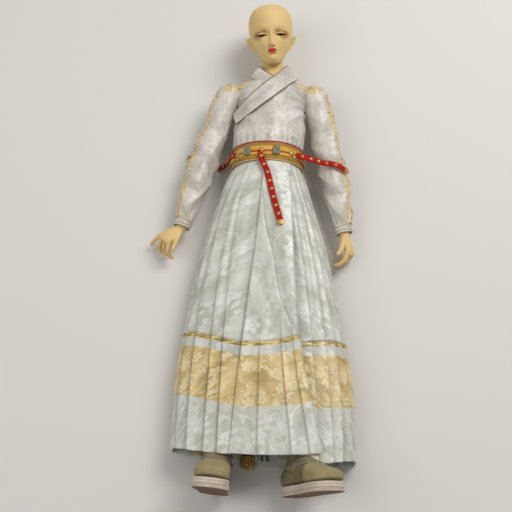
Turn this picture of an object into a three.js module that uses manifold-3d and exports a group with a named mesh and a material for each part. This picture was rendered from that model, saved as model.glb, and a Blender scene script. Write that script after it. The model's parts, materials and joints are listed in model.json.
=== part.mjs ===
// A ball-jointed resin doll in a crossed-collar robe, wrap skirt and boots, lying on its back.
// Millimetres. +Y runs to the head, +Z up from the floor, +X to the doll's left hand.
// The model is laid out from the middle of the hip line and is centred on its own box at the end.

import * as THREE from "three";
import { mergeVertices } from "three/addons/utils/BufferGeometryUtils.js";
import ManifoldModule from "manifold-3d";

// Clearances
const ballGap = 0.3;
const seatGap = 0.3;
const reachPast = 30;

// Skeleton: lengths between joint centres, and how the doll lies
const hipSpread = 29;
const waistRise = 103;
const shoulderRise = 84;
const shoulderSpread = 57;
const neckRise = 53;
const upperArmLength = 102;
const forearmLength = 98;
const thighLength = 160;
const shinLength = 153;
const axisHeight = 39;
const headNod = 26;
const headTilt = 5;
const armSpread = { right: 17, left: 12.3 };
const armDrop = 4.5;
const legSpread = { right: 4.8, left: 2.8 };
const footPoint = 4;
const footTurn = { right: 2, left: 32 };

// Joint balls
const waistBall = 22;
const waistBallHalfWidth = 31;
const neckBall = 13;
const shoulderBall = 13;
const elbowBall = 9.5;
const wristBall = 7;
const hipBall = 22;
const kneeBall = 16;
const ankleBall = 10;
const stringBore = 2.2;
const legOpeningSlope = 32;
const bendRoom = 45;
const hipBend = 75;
const hipBack = 5;

// Torso
const ribWidth = 78;
const ribDepth = 60;
const ribDrop = 28;
const yokeWidth = 92;
const waistWidth = 72;
const waistDepth = 50;
const hipWidth = 88;
const hipDepth = 56;
const torsoWall = 6;
const neckWidth = 26;
const neckLength = 28;

// Limbs, as widths
const upperArmWidth = 25;
const forearmWidth = 23;
const wristWidth = 17;
const thighWidth = 46;
const kneeWidth = 36;
const calfWidth = 37;
const ankleWidth = 24;
const ankleTaper = 22;

// Head
const headHeight = 84;
const headWidth = 61;
const headDepth = 82;
const chinDrop = 1;
const headWall = 6;
const eyeRadius = 8;
const eyeSpread = 13;
const eyeRise = 37;
const eyeSlitWidth = 15;
const eyeSlitHeight = 4.6;
const noseLength = 13;
const lipDrop = 9;
const noseReach = 9;
const earHeight = 20;
const earDrop = 9;
const hookShank = 1.8;
const hookBar = 12;
const hookRise = 31;
const nodBack = 20;
const nodForward = 15;
const capPlace = 0.28;
const capLean = 14;

// Hands
const palmLength = 27;
const palmWidth = 24;
const palmDepth = 10;
const fingerLength = 31;
const fingerWidth = 6.4;
const thumbLength = 24;
const thumbSplay = 34;

// Robe
const clothThickness = 1.6;
const bodiceWidth = 104;
const bodiceDepth = 70;
const sleeveWidth = 39;
const sleeveWristWidth = 29;
const cuffWidth = 24;
const cuffLength = 12;
const collarWidth = 20;
const collarStand = 21;
const collarRest = 1.2;
const innerCollarDrop = 16;
const outerCollarDrop = 62;
const sleeveLean = 0.16;
const armholeRoom = 1;

// Sash, belt and straps
const sashWidth = 96;
const sashDepth = 74;
const sashTop = 97;
const sashHeight = 24;
const sashThickness = 2;
const sashRoom = 0.8;
const beltHeight = 11;
const beltThickness = 1.4;
const plaqueSize = 10;
const plaqueThickness = 2.2;
const plaqueMiddle = -8;
const plaqueSpread = 19;
const plaqueRise = 0.9;
const strapWidth = 8;
const strapThickness = 1.4;
const studRadius = 2.3;
const studPitch = 12;
const studRise = 1.2;
const frontStrapX = -9;
const leftStrapX = 37;
const rightStrapX = -42;
const frontStrapLength = 102;
const frontStrapDrift = 24;
const strapRest = 3;
const leftStrapSlope = 10;
const rightStrapReach = 63;
const rightStrapSlope = 23;
const tailWidth = 16;
const tailThickness = 1.2;
const tailDrop = 8;
const tailStart = { right: -14, left: 6 };
const tailEnd = { right: { x: -78, y: -300 }, left: { x: -20, y: -316 } };

// Skirt
const skirtTop = 84;
const skirtLength = 382;
const skirtFrontDrop = 14;
const skirtHemWidth = 230;
const skirtHemHeight = 66;
const borderShare = 0.63;
const skirtShift = 5;
const pleatDepth = 5;
const skirtRoundness = 2.8;
const toeRoom = 76;
const toeRamp = 18;
const floorLift = 0.5;
const columnAngle = 7.2;
const overlapColumn = 30;
const tuckColumn = 24;

// Boots
const footLength = 90;
const footWidth = 35;
const footHeight = 26;
const bootWall = 2;
const shaftLength = 70;
const topLine = 9;
const midsoleHeight = 7;
const outsoleHeight = 4;
const soleLip = 1.5;

// Facets
const ballSides = 12;
const ballRows = 8;
const limbSides = 12;
const footSides = 10;
const rodSides = 10;
const boreSides = 6;
const torsoSides = 16;
const clothSides = 14;

const wasm = await ManifoldModule();
wasm.setup();

const radians = THREE.MathUtils.degToRad;
const lerp = THREE.MathUtils.lerp;
const smoothstep = THREE.MathUtils.smoothstep;
const vector = (x, y, z) => new THREE.Vector3(x, y, z);

// Materials

function finish(color, roughness, metalness = 0) {
  return new THREE.MeshStandardMaterial({ color, roughness, metalness });
}

const resin = finish("#dfc291", 0.5);
const eyeGlass = finish("#33231b", 0.15);
const steel = finish("#8d8d8a", 0.35, 0.9);
const robeCloth = finish("#d8d1c6", 0.75);
const pipedCloth = finish("#cfc6ba", 0.75);
const skirtCloth = finish("#d6d5cb", 0.6);
const borderCloth = finish("#c6b684", 0.6);
const sashCloth = finish("#b78d3d", 0.55);
const beltCloth = finish("#d0ac55", 0.5);
const jade = finish("#93a886", 0.3);
const redLeather = finish("#963229", 0.5);
const suede = finish("#79705a", 0.9);
const toeLeather = finish("#988a64", 0.7);
const midsoleRubber = finish("#d2c4b2", 0.7);
const outsoleRubber = finish("#71523c", 0.8);

// Solids: closing, joining and cutting

function bodyFrom(positions, triangles) {
  const geometry = new THREE.BufferGeometry();
  geometry.setAttribute("position", new THREE.Float32BufferAttribute(positions, 3));
  geometry.setIndex(triangles);
  if (signedVolume(geometry) < 0) {
    for (let i = 0; i < triangles.length; i += 3) {
      [triangles[i], triangles[i + 1]] = [triangles[i + 1], triangles[i]];
    }
    geometry.setIndex(triangles);
  }
  return geometry;
}

function signedVolume(geometry) {
  const position = geometry.attributes.position;
  const index = geometry.index;
  const [a, b, c] = [vector(), vector(), vector()];
  let sum = 0;
  for (let i = 0; i < index.count; i += 3) {
    a.fromBufferAttribute(position, index.getX(i));
    b.fromBufferAttribute(position, index.getX(i + 1));
    c.fromBufferAttribute(position, index.getX(i + 2));
    sum += a.dot(b.cross(c)) / 6;
  }
  return sum;
}

function toSolid(geometry) {
  const bare = geometry.clone();
  bare.deleteAttribute("normal");
  bare.deleteAttribute("uv");
  const merged = mergeVertices(bare, 1e-4);
  return new wasm.Manifold(new wasm.Mesh({
    numProp: 3,
    vertProperties: new Float32Array(merged.attributes.position.array),
    triVerts: new Uint32Array(merged.index.array),
  }));
}

function toGeometry(solid) {
  const mesh = solid.getMesh();
  const geometry = new THREE.BufferGeometry();
  geometry.setAttribute("position", new THREE.BufferAttribute(mesh.vertProperties, 3));
  geometry.setIndex(new THREE.BufferAttribute(mesh.triVerts, 1));
  return geometry;
}

function join(first, ...others) {
  return toGeometry(others.reduce((sum, other) => sum.add(toSolid(other)), toSolid(first)));
}

function cut(first, ...others) {
  return toGeometry(others.reduce((rest, other) => rest.subtract(toSolid(other)), toSolid(first)));
}

function common(first, second) {
  return toGeometry(toSolid(first).intersect(toSolid(second)));
}

// A solid through a row of rings, each a loop of the same number of points, with flat ends.
function loft(rings) {
  const count = rings[0].length;
  const positions = rings.flat().flatMap((point) => point.toArray());
  const triangles = [];
  for (let row = 0; row < rings.length - 1; row += 1) {
    for (let i = 0; i < count; i += 1) {
      const a = row * count + i;
      const b = row * count + (i + 1) % count;
      triangles.push(a, b, a + count, b, b + count, a + count);
    }
  }
  closeEnd(rings[0], 0, positions, triangles, true);
  closeEnd(rings.at(-1), (rings.length - 1) * count, positions, triangles, false);
  return bodyFrom(positions, triangles);
}

function closeEnd(ring, start, positions, triangles, flip) {
  const centre = ring.reduce((sum, point) => sum.add(point), vector(0, 0, 0)).divideScalar(ring.length);
  const middle = positions.length / 3;
  positions.push(centre.x, centre.y, centre.z);
  for (let i = 0; i < ring.length; i += 1) {
    const a = start + i;
    const b = start + (i + 1) % ring.length;
    triangles.push(middle, flip ? b : a, flip ? a : b);
  }
}

// A sheet between two grids of points, rows along it and columns across, closed at its edges.
// A wrapped sheet is a tube: its last column meets its first.
function sheet(outer, inner, wrapped) {
  const rows = outer.length;
  const columns = outer[0].length;
  const positions = [...outer.flat(), ...inner.flat()].flatMap((point) => point.toArray());
  const triangles = [];
  const quad = (a, b, c, d) => triangles.push(a, b, c, a, c, d);
  const out = (row, column) => row * columns + column % columns;
  const under = (row, column) => rows * columns + out(row, column);
  const spans = wrapped ? columns : columns - 1;
  for (let row = 0; row < rows - 1; row += 1) {
    for (let column = 0; column < spans; column += 1) {
      quad(out(row, column), out(row, column + 1), out(row + 1, column + 1), out(row + 1, column));
      quad(under(row, column), under(row + 1, column), under(row + 1, column + 1), under(row, column + 1));
    }
    if (!wrapped) {
      const last = columns - 1;
      quad(out(row, 0), out(row + 1, 0), under(row + 1, 0), under(row, 0));
      quad(out(row, last), under(row, last), under(row + 1, last), out(row + 1, last));
    }
  }
  for (let column = 0; column < spans; column += 1) {
    const end = rows - 1;
    quad(out(0, column), under(0, column), under(0, column + 1), out(0, column + 1));
    quad(out(end, column), out(end, column + 1), under(end, column + 1), under(end, column));
  }
  return bodyFrom(positions, triangles);
}

// An oval loop at height y, with its own reach to the front and to the back.
function oval({ y, x = 0, z = 0, halfWidth, front, back = front, lean = 0 }, sides) {
  return Array.from({ length: sides }, (_, i) => {
    const angle = (2 * Math.PI * i) / sides;
    const depth = Math.cos(angle);
    return vector(
      x + halfWidth * Math.sin(angle),
      y + lean * depth,
      z + depth * (depth > 0 ? front : back),
    );
  });
}

// A round tube of changing radius along a row of points.
function tube(points, radii, sides, across = vector(1, 0, 0)) {
  const rings = points.map((point, i) => {
    const ahead = points[Math.min(i + 1, points.length - 1)];
    const behind = points[Math.max(i - 1, 0)];
    const along = ahead.clone().sub(behind).normalize();
    const u = across.clone().addScaledVector(along, -across.dot(along)).normalize();
    const v = along.clone().cross(u);
    return Array.from({ length: sides }, (_, side) => {
      const angle = (2 * Math.PI * side) / sides;
      return point.clone()
        .addScaledVector(u, radii[i] * Math.cos(angle))
        .addScaledVector(v, radii[i] * Math.sin(angle));
    });
  });
  return loft(rings);
}

// A flat strip of even thickness along a row of points; normals point out of its face.
function strip(points, normals, width, thickness) {
  const outer = [];
  const inner = [];
  points.forEach((point, i) => {
    const ahead = points[Math.min(i + 1, points.length - 1)];
    const behind = points[Math.max(i - 1, 0)];
    const along = ahead.clone().sub(behind).normalize();
    const across = along.clone().cross(normals[i]).normalize();
    const row = [-0.5, 0.5].map((share) => point.clone().addScaledVector(across, share * width));
    inner.push(row);
    outer.push(row.map((corner) => corner.clone().addScaledVector(normals[i], thickness)));
  });
  return sheet(outer, inner, false);
}

function ball(radius, x = 0, y = 0, z = 0) {
  return new THREE.SphereGeometry(radius, ballSides, ballRows).translate(x, y, z);
}

// A small rounded feature, such as a lip or an ear.
function bead(radius) {
  return new THREE.SphereGeometry(radius, 8, 6);
}

// The room for a ball, large enough that its flat facets clear the ball however it turns.
// It is turned by half a facet, so that the ball's edges seat on the flats.
function socket(radius, x = 0, y = 0, z = 0) {
  const flat = Math.cos(Math.PI / ballSides) * Math.cos(Math.PI / (2 * ballRows));
  return ball((radius + ballGap) / flat).rotateY(Math.PI / ballSides).translate(x, y, z);
}

function rod(radius, from, to, sides = rodSides) {
  const length = from.distanceTo(to);
  const geometry = new THREE.CylinderGeometry(radius, radius, length, sides);
  const turn = new THREE.Quaternion().setFromUnitVectors(vector(0, 1, 0), to.clone().sub(from).normalize());
  const middle = from.clone().add(to).multiplyScalar(0.5);
  return geometry.applyQuaternion(turn).translate(middle.x, middle.y, middle.z);
}

function block(from, to) {
  const size = to.clone().sub(from);
  const middle = from.clone().add(to).multiplyScalar(0.5);
  return new THREE.BoxGeometry(size.x, size.y, size.z).translate(middle.x, middle.y, middle.z);
}

// Reads a value from a list of [place, value] pairs in rising order of place.
function between(stations, place) {
  const next = stations.findIndex(([at]) => at >= place);
  if (next <= 0) {
    return next === 0 ? stations[0][1] : stations.at(-1)[1];
  }
  const [lowAt, low] = stations[next - 1];
  const [highAt, high] = stations[next];
  return lerp(low, high, (place - lowAt) / (highAt - lowAt));
}

const doll = new THREE.Group();

// A frame at a joint's centre, named after the joint.
function group(parent, name, position, rotation = [0, 0, 0], order = "XYZ") {
  const child = new THREE.Group();
  child.name = `${name}_joint`;
  child.position.copy(position);
  child.rotation.set(...rotation.map(radians), order);
  parent.add(child);
  return child;
}

function add(parent, name, geometry, material) {
  const mesh = new THREE.Mesh(geometry, material);
  mesh.name = name;
  parent.add(mesh);
  return mesh;
}

const sides = [["right", -1], ["left", 1]];

// Places along the body that several pieces share
const shoulderY = waistRise + shoulderRise;
const headPivotY = shoulderY + neckRise;
const neckBaseY = headPivotY - neckLength;
const floorZ = -axisHeight;

// Torso

function upperTorso() {
  const low = waistRise + 4;
  const shell = (inset) => loft([
    { y: low - inset, halfWidth: waistWidth / 2, front: waistDepth / 2 },
    { y: low + shoulderRise * 0.3, halfWidth: waistWidth / 2 + 2, front: waistDepth / 2 + 3 },
    { y: shoulderY - ribDrop, halfWidth: ribWidth / 2, front: ribDepth / 2 },
    { y: shoulderY - 10, halfWidth: yokeWidth / 2 - 2, front: ribDepth / 2 },
    { y: shoulderY + 6 - inset, halfWidth: yokeWidth / 2, front: ribDepth / 2 - 4 },
    { y: shoulderY + 15 - inset, halfWidth: yokeWidth / 2 - 14, front: ribDepth / 2 - 10 },
    { y: neckBaseY - inset, halfWidth: neckWidth / 2 + 6, front: neckWidth / 2 + 2 },
  ].map((station) => oval({
    ...station,
    halfWidth: station.halfWidth - inset,
    front: station.front - inset,
  }, torsoSides)));
  const neck = rod(neckWidth / 2, vector(0, neckBaseY - 8, 0), vector(0, headPivotY, 0), torsoSides);
  const hookBore = rod(hookShank + seatGap, vector(0, shoulderY, 0), vector(0, headPivotY + neckBall + 1, 0));
  const sockets = sides.map(([, side]) => socket(shoulderBall, side * shoulderSpread, shoulderY, 0));
  const outside = join(shell(0), neck, ball(neckBall, 0, headPivotY, 0));
  return cut(outside, shell(torsoWall), hookBore, waistForm(socket(waistBall)), ...sockets);
}

// The waist ball turns about X only, so it is round about X and wider along it.
function waistForm(round) {
  return round.scale(waistBallHalfWidth / waistBall, 1, 1).translate(0, waistRise, 0);
}

function lowerTorso() {
  const trunk = loft([
    { y: -hipBall * 0.9, halfWidth: hipWidth / 2 - 12, front: hipDepth / 2 - 10 },
    { y: 0, halfWidth: hipWidth / 2 - 2, front: hipDepth / 2 - 2 },
    { y: waistRise * 0.22, halfWidth: hipWidth / 2, front: hipDepth / 2 },
    { y: waistRise * 0.5, halfWidth: lerp(hipWidth, waistWidth, 0.45) / 2, front: hipDepth / 2 - 2 },
    { y: waistRise * 0.76, halfWidth: waistWidth / 2 + 1, front: waistDepth / 2 },
    { y: waistRise * 0.88, halfWidth: waistWidth / 2 - 3, front: waistDepth / 2 - 2 },
    { y: waistRise * 0.94, halfWidth: waistWidth / 2 - 8, front: waistDepth / 2 - 6 },
  ].map((station) => oval(station, torsoSides)));
  const core = join(trunk, waistForm(ball(waistBall)));
  const legRoom = sides.flatMap(([name, side]) => [
    socket(hipBall, side * hipSpread, 0, 0),
    legOpening(side),
    ...thighSweep(name, side),
  ]);
  const bore = rod(stringBore * 2, vector(0, -hipWidth, 0), vector(0, waistRise + waistBall + 2, 0));
  return cut(core, ...legRoom, bore);
}

// The slanted leg opening under each hip ball leaves room for the thigh to lift forward.
function legOpening(side) {
  const inner = side * (hipSpread - hipBall - 1);
  const outer = side * hipWidth;
  const low = vector(Math.min(inner, outer), -hipWidth, -hipWidth);
  const high = vector(Math.max(inner, outer), 0, hipWidth);
  return block(low, high).rotateX(radians(-legOpeningSlope));
}

// The room that a thigh takes up between its limits, a little back and far forward.
function thighSweep(name, side) {
  const clear = (thighWidth / 2 + ballGap) / Math.cos(Math.PI / limbSides);
  return [-hipBack, hipBend * 0.6, hipBend].map((bend) => rod(
    clear,
    vector(0, 0, 0),
    vector(0, -thighLength, 0),
    limbSides,
  )
    .rotateX(radians(-bend))
    .rotateZ(radians(side * legSpread[name]))
    .translate(side * hipSpread, 0, 0));
}

add(doll, "upper_torso", upperTorso(), resin);
add(doll, "lower_torso", lowerTorso(), resin);

// Head, in a frame at the neck ball with Y to the crown and Z to the face

const skullMiddle = headHeight / 2 - chinDrop;
const skullBack = -headDepth * 0.56;
const skullFront = headDepth + skullBack;

// Half width, reach to the face and reach to the back of the head, from the chin up.
const headOutline = [
  [0.0, 0.3, 0.86, -0.4],
  [0.05, 0.46, 0.92, -0.08],
  [0.11, 0.62, 0.95, 0.28],
  [0.2, 0.79, 0.98, 0.6],
  [0.31, 0.9, 0.99, 0.83],
  [0.45, 0.97, 0.97, 0.96],
  [0.6, 1.0, 1.0, 1.0],
  [0.74, 0.97, 0.95, 0.97],
  [0.86, 0.8, 0.76, 0.82],
  [0.95, 0.5, 0.44, 0.52],
  [1.0, 0.16, 0.12, 0.16],
];

function skull() {
  return loft(headOutline.map(([rise, wide, face, nape]) => {
    const front = face * skullFront;
    const back = -nape * skullBack;
    const middle = (front - back) / 2;
    return oval({
      y: rise * headHeight - chinDrop,
      z: middle,
      halfWidth: (wide * headWidth) / 2,
      front: front - middle,
      back: back + middle,
    }, torsoSides);
  }));
}

function nose() {
  const top = eyeRise - 2;
  const tip = top - noseLength;
  return loft([
    { y: tip - 1.5, z: skullFront - 3, halfWidth: 4.6, front: noseReach * 0.55 },
    { y: tip + 2, z: skullFront - 3, halfWidth: 4.8, front: noseReach },
    { y: tip + 7, z: skullFront - 3, halfWidth: 3.4, front: noseReach * 0.72 },
    { y: top, z: skullFront - 3, halfWidth: 2.6, front: noseReach * 0.3 },
  ].map((station) => oval(station, 10)));
}

function ear(side) {
  const shape = bead(earHeight / 2).scale(0.3, 1, 0.6);
  return shape.rotateY(radians(side * 24)).translate(side * (headWidth / 2 - 1), eyeRise - earDrop, -4);
}

function lips() {
  const mouthRise = eyeRise - noseLength - lipDrop;
  return [1, -1].map((edge) => bead(4.6)
    .scale(1.15, 0.34, 0.5)
    .translate(0, mouthRise + edge * 1.3, skullFront - 1.2));
}

function eyeSlit(side) {
  const lens = bead(eyeSlitWidth / 2).scale(1, eyeSlitHeight / eyeSlitWidth, 1.6);
  return lens.translate(side * eyeSpread, eyeRise, eyeZ);
}

const eyeZ = skullFront * Math.sqrt(1 - (eyeSpread / (headWidth / 2)) ** 2) - eyeRadius - 1;

// The room that the neck below the head, or the hook above the neck, sweeps through as the head nods.
function nodSweep(radius, end, steps) {
  const clear = radius / Math.cos(Math.PI / rodSides);
  return Array.from({ length: steps + 1 }, (_, step) => {
    const nod = headNod + lerp(-nodBack, nodForward, step / steps);
    const path = rod(clear, vector(0, 0, 0), vector(0, end, 0));
    return path.rotateX(radians(-nod)).rotateZ(radians(-headTilt));
  });
}

function headParts() {
  const cavity = ball(1)
    .scale(headWidth / 2 - headWall, headHeight * 0.38, headDepth / 2 - headWall)
    .translate(0, skullMiddle + 5, (skullFront + skullBack) / 2);
  const eyeWells = sides.map(([, side]) => socket(eyeRadius, side * eyeSpread, eyeRise, eyeZ));
  const slits = sides.map(([, side]) => eyeSlit(side));
  const features = [nose(), ear(-1), ear(1), ...lips()];
  const shell = cut(
    join(skull(), ...features),
    cavity,
    socket(neckBall),
    ...nodSweep(neckWidth / 2 + ballGap, -headHeight, 1),
    ...nodSweep(hookShank * 2.5, skullMiddle, 2),
    ...eyeWells,
    ...slits,
  );
  const behind = block(vector(-headWidth, -headHeight, -headDepth * 2), vector(headWidth, headHeight * 2, 0));
  const capSeam = (shift) => behind.clone()
    .rotateX(radians(capLean))
    .translate(0, skullMiddle, skullBack * capPlace - shift);
  return {
    face: cut(shell, capSeam(0)),
    cap: common(shell, capSeam(seatGap)),
  };
}

function neckHook() {
  const hookFoot = -neckLength - torsoWall - 8;
  return join(
    rod(hookShank, vector(0, hookFoot, 0), vector(0, hookRise, 0)),
    rod(hookShank, vector(-hookBar / 2, hookRise, 0), vector(hookBar / 2, hookRise, 0)),
    rod(hookShank, vector(0, hookFoot, 0), vector(0, hookFoot - 5, 6)),
  );
}

const neckPivot = group(doll, "neck", vector(0, headPivotY, 0));
add(neckPivot, "neck_hook", neckHook(), steel);
const headFrame = group(neckPivot, "head", vector(0, 0, 0), [headNod, 0, headTilt]);
const head = headParts();
add(headFrame, "head", head.face, resin);
add(headFrame, "head_cap", head.cap, resin);
for (const [name, side] of sides) {
  add(headFrame, `${name}_eye`, bead(eyeRadius).translate(side * eyeSpread, eyeRise, eyeZ), eyeGlass);
}

// Arms, each in a frame at its upper joint with the limb running along -Y and its front along +Z

function limb(stations) {
  return loft(stations.map(([y, front, back = front, halfWidth = front]) =>
    oval({ y, halfWidth, front, back }, limbSides)));
}

// Everything beyond a plane through a joint, tipped so that the limb can fold to its front or back.
function foldRoom(y, slope) {
  const reach = thighWidth * 2;
  return block(vector(-reach, -reach, -reach), vector(reach, 0, reach))
    .rotateX(radians(-slope))
    .translate(0, y, 0);
}

function stringHole(length) {
  return rod(stringBore, vector(0, reachPast, 0), vector(0, -length - reachPast, 0), boreSides);
}

function upperArm() {
  const half = upperArmWidth / 2;
  const body = limb([
    [-shoulderBall * 0.66, half - 1.2],
    [-upperArmLength * 0.24, half],
    [-upperArmLength * 0.73, half - 1.6],
    [-upperArmLength * 0.94, half - 1],
    [-upperArmLength - 1, half - 1.6],
  ]);
  return cut(
    body,
    socket(shoulderBall),
    socket(elbowBall, 0, -upperArmLength, 0),
    foldRoom(-upperArmLength + 3, bendRoom),
    stringHole(upperArmLength),
  );
}

function forearm() {
  const half = forearmWidth / 2;
  const wrist = wristWidth / 2;
  const body = limb([
    [-2, elbowBall - 3],
    [-elbowBall, elbowBall - 2],
    [-elbowBall * 1.9, half - 0.6],
    [-forearmLength * 0.37, half],
    [-forearmLength * 0.7, lerp(half, wrist, 0.6)],
    [-forearmLength + 4, wrist],
  ]);
  return cut(
    join(body, ball(elbowBall)),
    socket(wristBall, 0, -forearmLength, 0),
    stringHole(forearmLength),
  );
}

// A finger of three bones, each turned a further step of the curl towards the palm.
function finger(base, length, width, splay, curl) {
  const bones = [0.44, 0.32, 0.24];
  const points = [base.clone()];
  let bend = curl * 0.25;
  for (const share of bones) {
    bend += curl;
    const step = vector(Math.sin(radians(splay)), -Math.cos(radians(bend)), -Math.sin(radians(bend)));
    const last = points.at(-1);
    points.push(last.clone().addScaledVector(step.normalize(), share * length));
  }
  const half = width / 2;
  return tube(points, [half, half, half * 0.92, half * 0.55], 6);
}

function hand(side, { curl, spread, thumbCurl }) {
  const half = palmWidth / 2;
  const palm = loft([
    { y: -2, halfWidth: wristBall * 0.8, front: wristBall * 0.62 },
    { y: -wristBall - 1, halfWidth: wristBall + 0.5, front: wristBall * 0.7 },
    { y: -palmLength * 0.6, halfWidth: half - 1, front: palmDepth / 2 },
    { y: -palmLength, halfWidth: half, front: palmDepth / 2 - 0.8 },
    { y: -palmLength - 3, halfWidth: half - 1.5, front: palmDepth / 2 - 2 },
  ].map((station) => oval(station, 10)));
  const lengths = [0.92, 1, 0.95, 0.76];
  const fingers = lengths.map((share, i) => {
    const place = 1.5 - i;
    const base = vector(-side * place * fingerWidth * 0.92, -palmLength + 1, 0);
    return finger(base, fingerLength * share, fingerWidth, -side * place * spread, curl + 4 * i);
  });
  const thumb = finger(
    vector(-side * (half - 3), -palmLength * 0.42, -1),
    thumbLength,
    fingerWidth * 1.1,
    -side * thumbSplay,
    thumbCurl,
  );
  const core = join(palm, bead(wristBall), ...fingers, thumb);
  return cut(core, rod(stringBore, vector(0, wristBall + 1, 0), vector(0, -wristBall * 0.6, 0), boreSides));
}

const armFrames = {};
const handPose = {
  right: { turn: [-10, 0, -26], curl: 22, spread: 7, thumbCurl: 4 },
  left: { turn: [-6, 62, 8], curl: 30, spread: 2, thumbCurl: 14 },
};

for (const [name, side] of sides) {
  const shoulder = group(doll, `${name}_shoulder`, vector(side * shoulderSpread, shoulderY, 0));
  add(shoulder, `${name}_shoulder_ball`, cut(
    ball(shoulderBall),
    rod(stringBore, vector(-shoulderBall - 1, 0, 0), vector(shoulderBall + 1, 0, 0), boreSides),
  ), resin);
  const arm = group(shoulder, `${name}_arm`, vector(0, 0, 0), [armDrop, 0, side * armSpread[name]], "ZXY");
  add(arm, `${name}_upper_arm`, upperArm(), resin);
  const elbow = group(arm, `${name}_elbow`, vector(0, -upperArmLength, 0));
  add(elbow, `${name}_forearm`, forearm(), resin);
  const wrist = group(elbow, `${name}_wrist`, vector(0, -forearmLength, 0), handPose[name].turn);
  add(wrist, `${name}_hand`, hand(side, handPose[name]), resin);
  armFrames[name] = { arm, elbow };
}

// Legs

function thigh() {
  const half = thighWidth / 2;
  const knee = kneeWidth / 2;
  const body = limb([
    [-2, hipBall - 6],
    [-14, hipBall - 1],
    [-thighLength * 0.2, half],
    [-thighLength * 0.6, lerp(half, knee, 0.5)],
    [-thighLength + 8, knee + 0.8],
    [-thighLength - 2, knee - 0.5],
  ]);
  return cut(
    join(body, ball(hipBall)),
    socket(kneeBall, 0, -thighLength, 0),
    foldRoom(-thighLength + 4, -bendRoom),
    stringHole(thighLength),
  );
}

function shin() {
  const calf = calfWidth / 2;
  const ankle = ankleWidth / 2;
  const body = limb([
    [-2, kneeBall - 5],
    [-kneeBall, kneeBall - 2.5],
    [-kneeBall * 1.9, calf - 1.5, calf - 1],
    [-shinLength * 0.36, calf - 2, calf],
    [-shinLength * 0.66, lerp(calf, ankle, 0.6)],
    [-shinLength + ankleTaper, ankle - 0.6],
    [-shinLength + 5, ankle],
  ]);
  return cut(
    join(body, ball(kneeBall)),
    socket(ankleBall, 0, -shinLength, 0),
    stringHole(shinLength),
  );
}

// The foot runs along +Z from heel to toe, with its sole along -Y; extra grows it for the boot around it.
const heelReach = footLength * 0.27;

function footForm(extra) {
  const half = footWidth / 2;
  return [
    [0.0, 0.5, -0.84, -0.45],
    [0.06, 0.72, -1, -0.34],
    [0.2, 0.84, -1, -0.2],
    [0.36, 0.82, -1, -0.08],
    [0.55, 0.9, -1, -0.2],
    [0.75, 1.0, -1, -0.42],
    [0.91, 0.86, -0.97, -0.6],
    [1.0, 0.45, -0.88, -0.7],
  ].map(([place, wide, low, high]) => {
    const z = place * footLength - heelReach + (place - 0.5) * 2 * extra;
    const bottom = low * footHeight - extra;
    const top = high * footHeight + extra;
    return Array.from({ length: footSides }, (_, i) => {
      const angle = (2 * Math.PI * i) / footSides;
      const rise = Math.sin(angle);
      const square = rise < 0 ? Math.sign(rise) * Math.abs(rise) ** 0.5 : rise;
      return vector(
        (wide * half + extra) * Math.cos(angle),
        (top + bottom) / 2 + ((top - bottom) / 2) * square,
        z,
      );
    });
  });
}

function foot() {
  return cut(
    join(loft(footForm(0)), ball(ankleBall)),
    rod(stringBore, vector(0, ankleBall + 1, 0), vector(0, -ankleBall, 0), boreSides),
  );
}

// Boots: a soft shaft on the shin, and a vamp, midsole and outsole on the foot

function bootVamp() {
  const mouth = rod(
    ankleWidth / 2 + bootWall + 5.5,
    vector(0, -topLine, 0),
    vector(0, footHeight * 3, 0),
    limbSides,
  );
  return cut(loft(footForm(bootWall + seatGap)), loft(footForm(seatGap)), mouth);
}

function soleOutline(lip) {
  const half = footWidth / 2 + bootWall + lip;
  const heel = -heelReach - bootWall - lip;
  const toe = footLength - heelReach + bootWall + lip;
  const at = (share) => lerp(heel, toe, share);
  const waist = half * 0.84;
  const outline = new THREE.Shape();
  outline.moveTo(0, heel);
  outline.bezierCurveTo(half * 0.75, heel, half * 0.9, at(0.12), waist, at(0.36));
  outline.bezierCurveTo(waist, at(0.5), half, at(0.62), half, at(0.76));
  outline.bezierCurveTo(half, at(0.92), half * 0.6, toe, 0, toe);
  outline.bezierCurveTo(-half * 0.6, toe, -half, at(0.92), -half, at(0.76));
  outline.bezierCurveTo(-half, at(0.62), -waist, at(0.5), -waist, at(0.36));
  outline.bezierCurveTo(-half * 0.9, at(0.12), -half * 0.75, heel, 0, heel);
  return outline;
}

// A slab of the sole's outline, from the height top downwards.
function soleSlab(lip, top, height) {
  const slab = new THREE.ExtrudeGeometry(soleOutline(lip), {
    depth: height,
    bevelEnabled: false,
    curveSegments: 5,
  });
  return slab.rotateX(Math.PI / 2).translate(0, top, 0);
}

function bootShaft() {
  const rows = 4;
  const ripple = 0.5;
  const ring = (row, inset) => {
    const share = row / (rows - 1);
    const y = -shinLength + shaftLength - share * (shaftLength - 3);
    const shinHalf = between([
      [-shinLength, ankleWidth / 2],
      [-shinLength + ankleTaper, ankleWidth / 2],
      [-shinLength * 0.36, calfWidth / 2],
    ], y);
    const slack = lerp(seatGap + 0.4, 2.6, share);
    const radius = shinHalf + slack + bootWall - inset;
    return Array.from({ length: clothSides }, (_, i) => {
      const angle = (2 * Math.PI * i) / clothSides;
      const fold = ripple * share * Math.cos(3 * angle + 2 * row);
      const slant = share * 5 * Math.cos(angle);
      return vector((radius + fold) * Math.sin(angle), y + slant, (radius + fold) * Math.cos(angle));
    });
  };
  const outer = Array.from({ length: rows }, (_, row) => ring(row, 0));
  const inner = Array.from({ length: rows }, (_, row) => ring(row, bootWall));
  return sheet(outer, inner, true);
}

const vampBottom = -footHeight - bootWall - seatGap;

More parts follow.
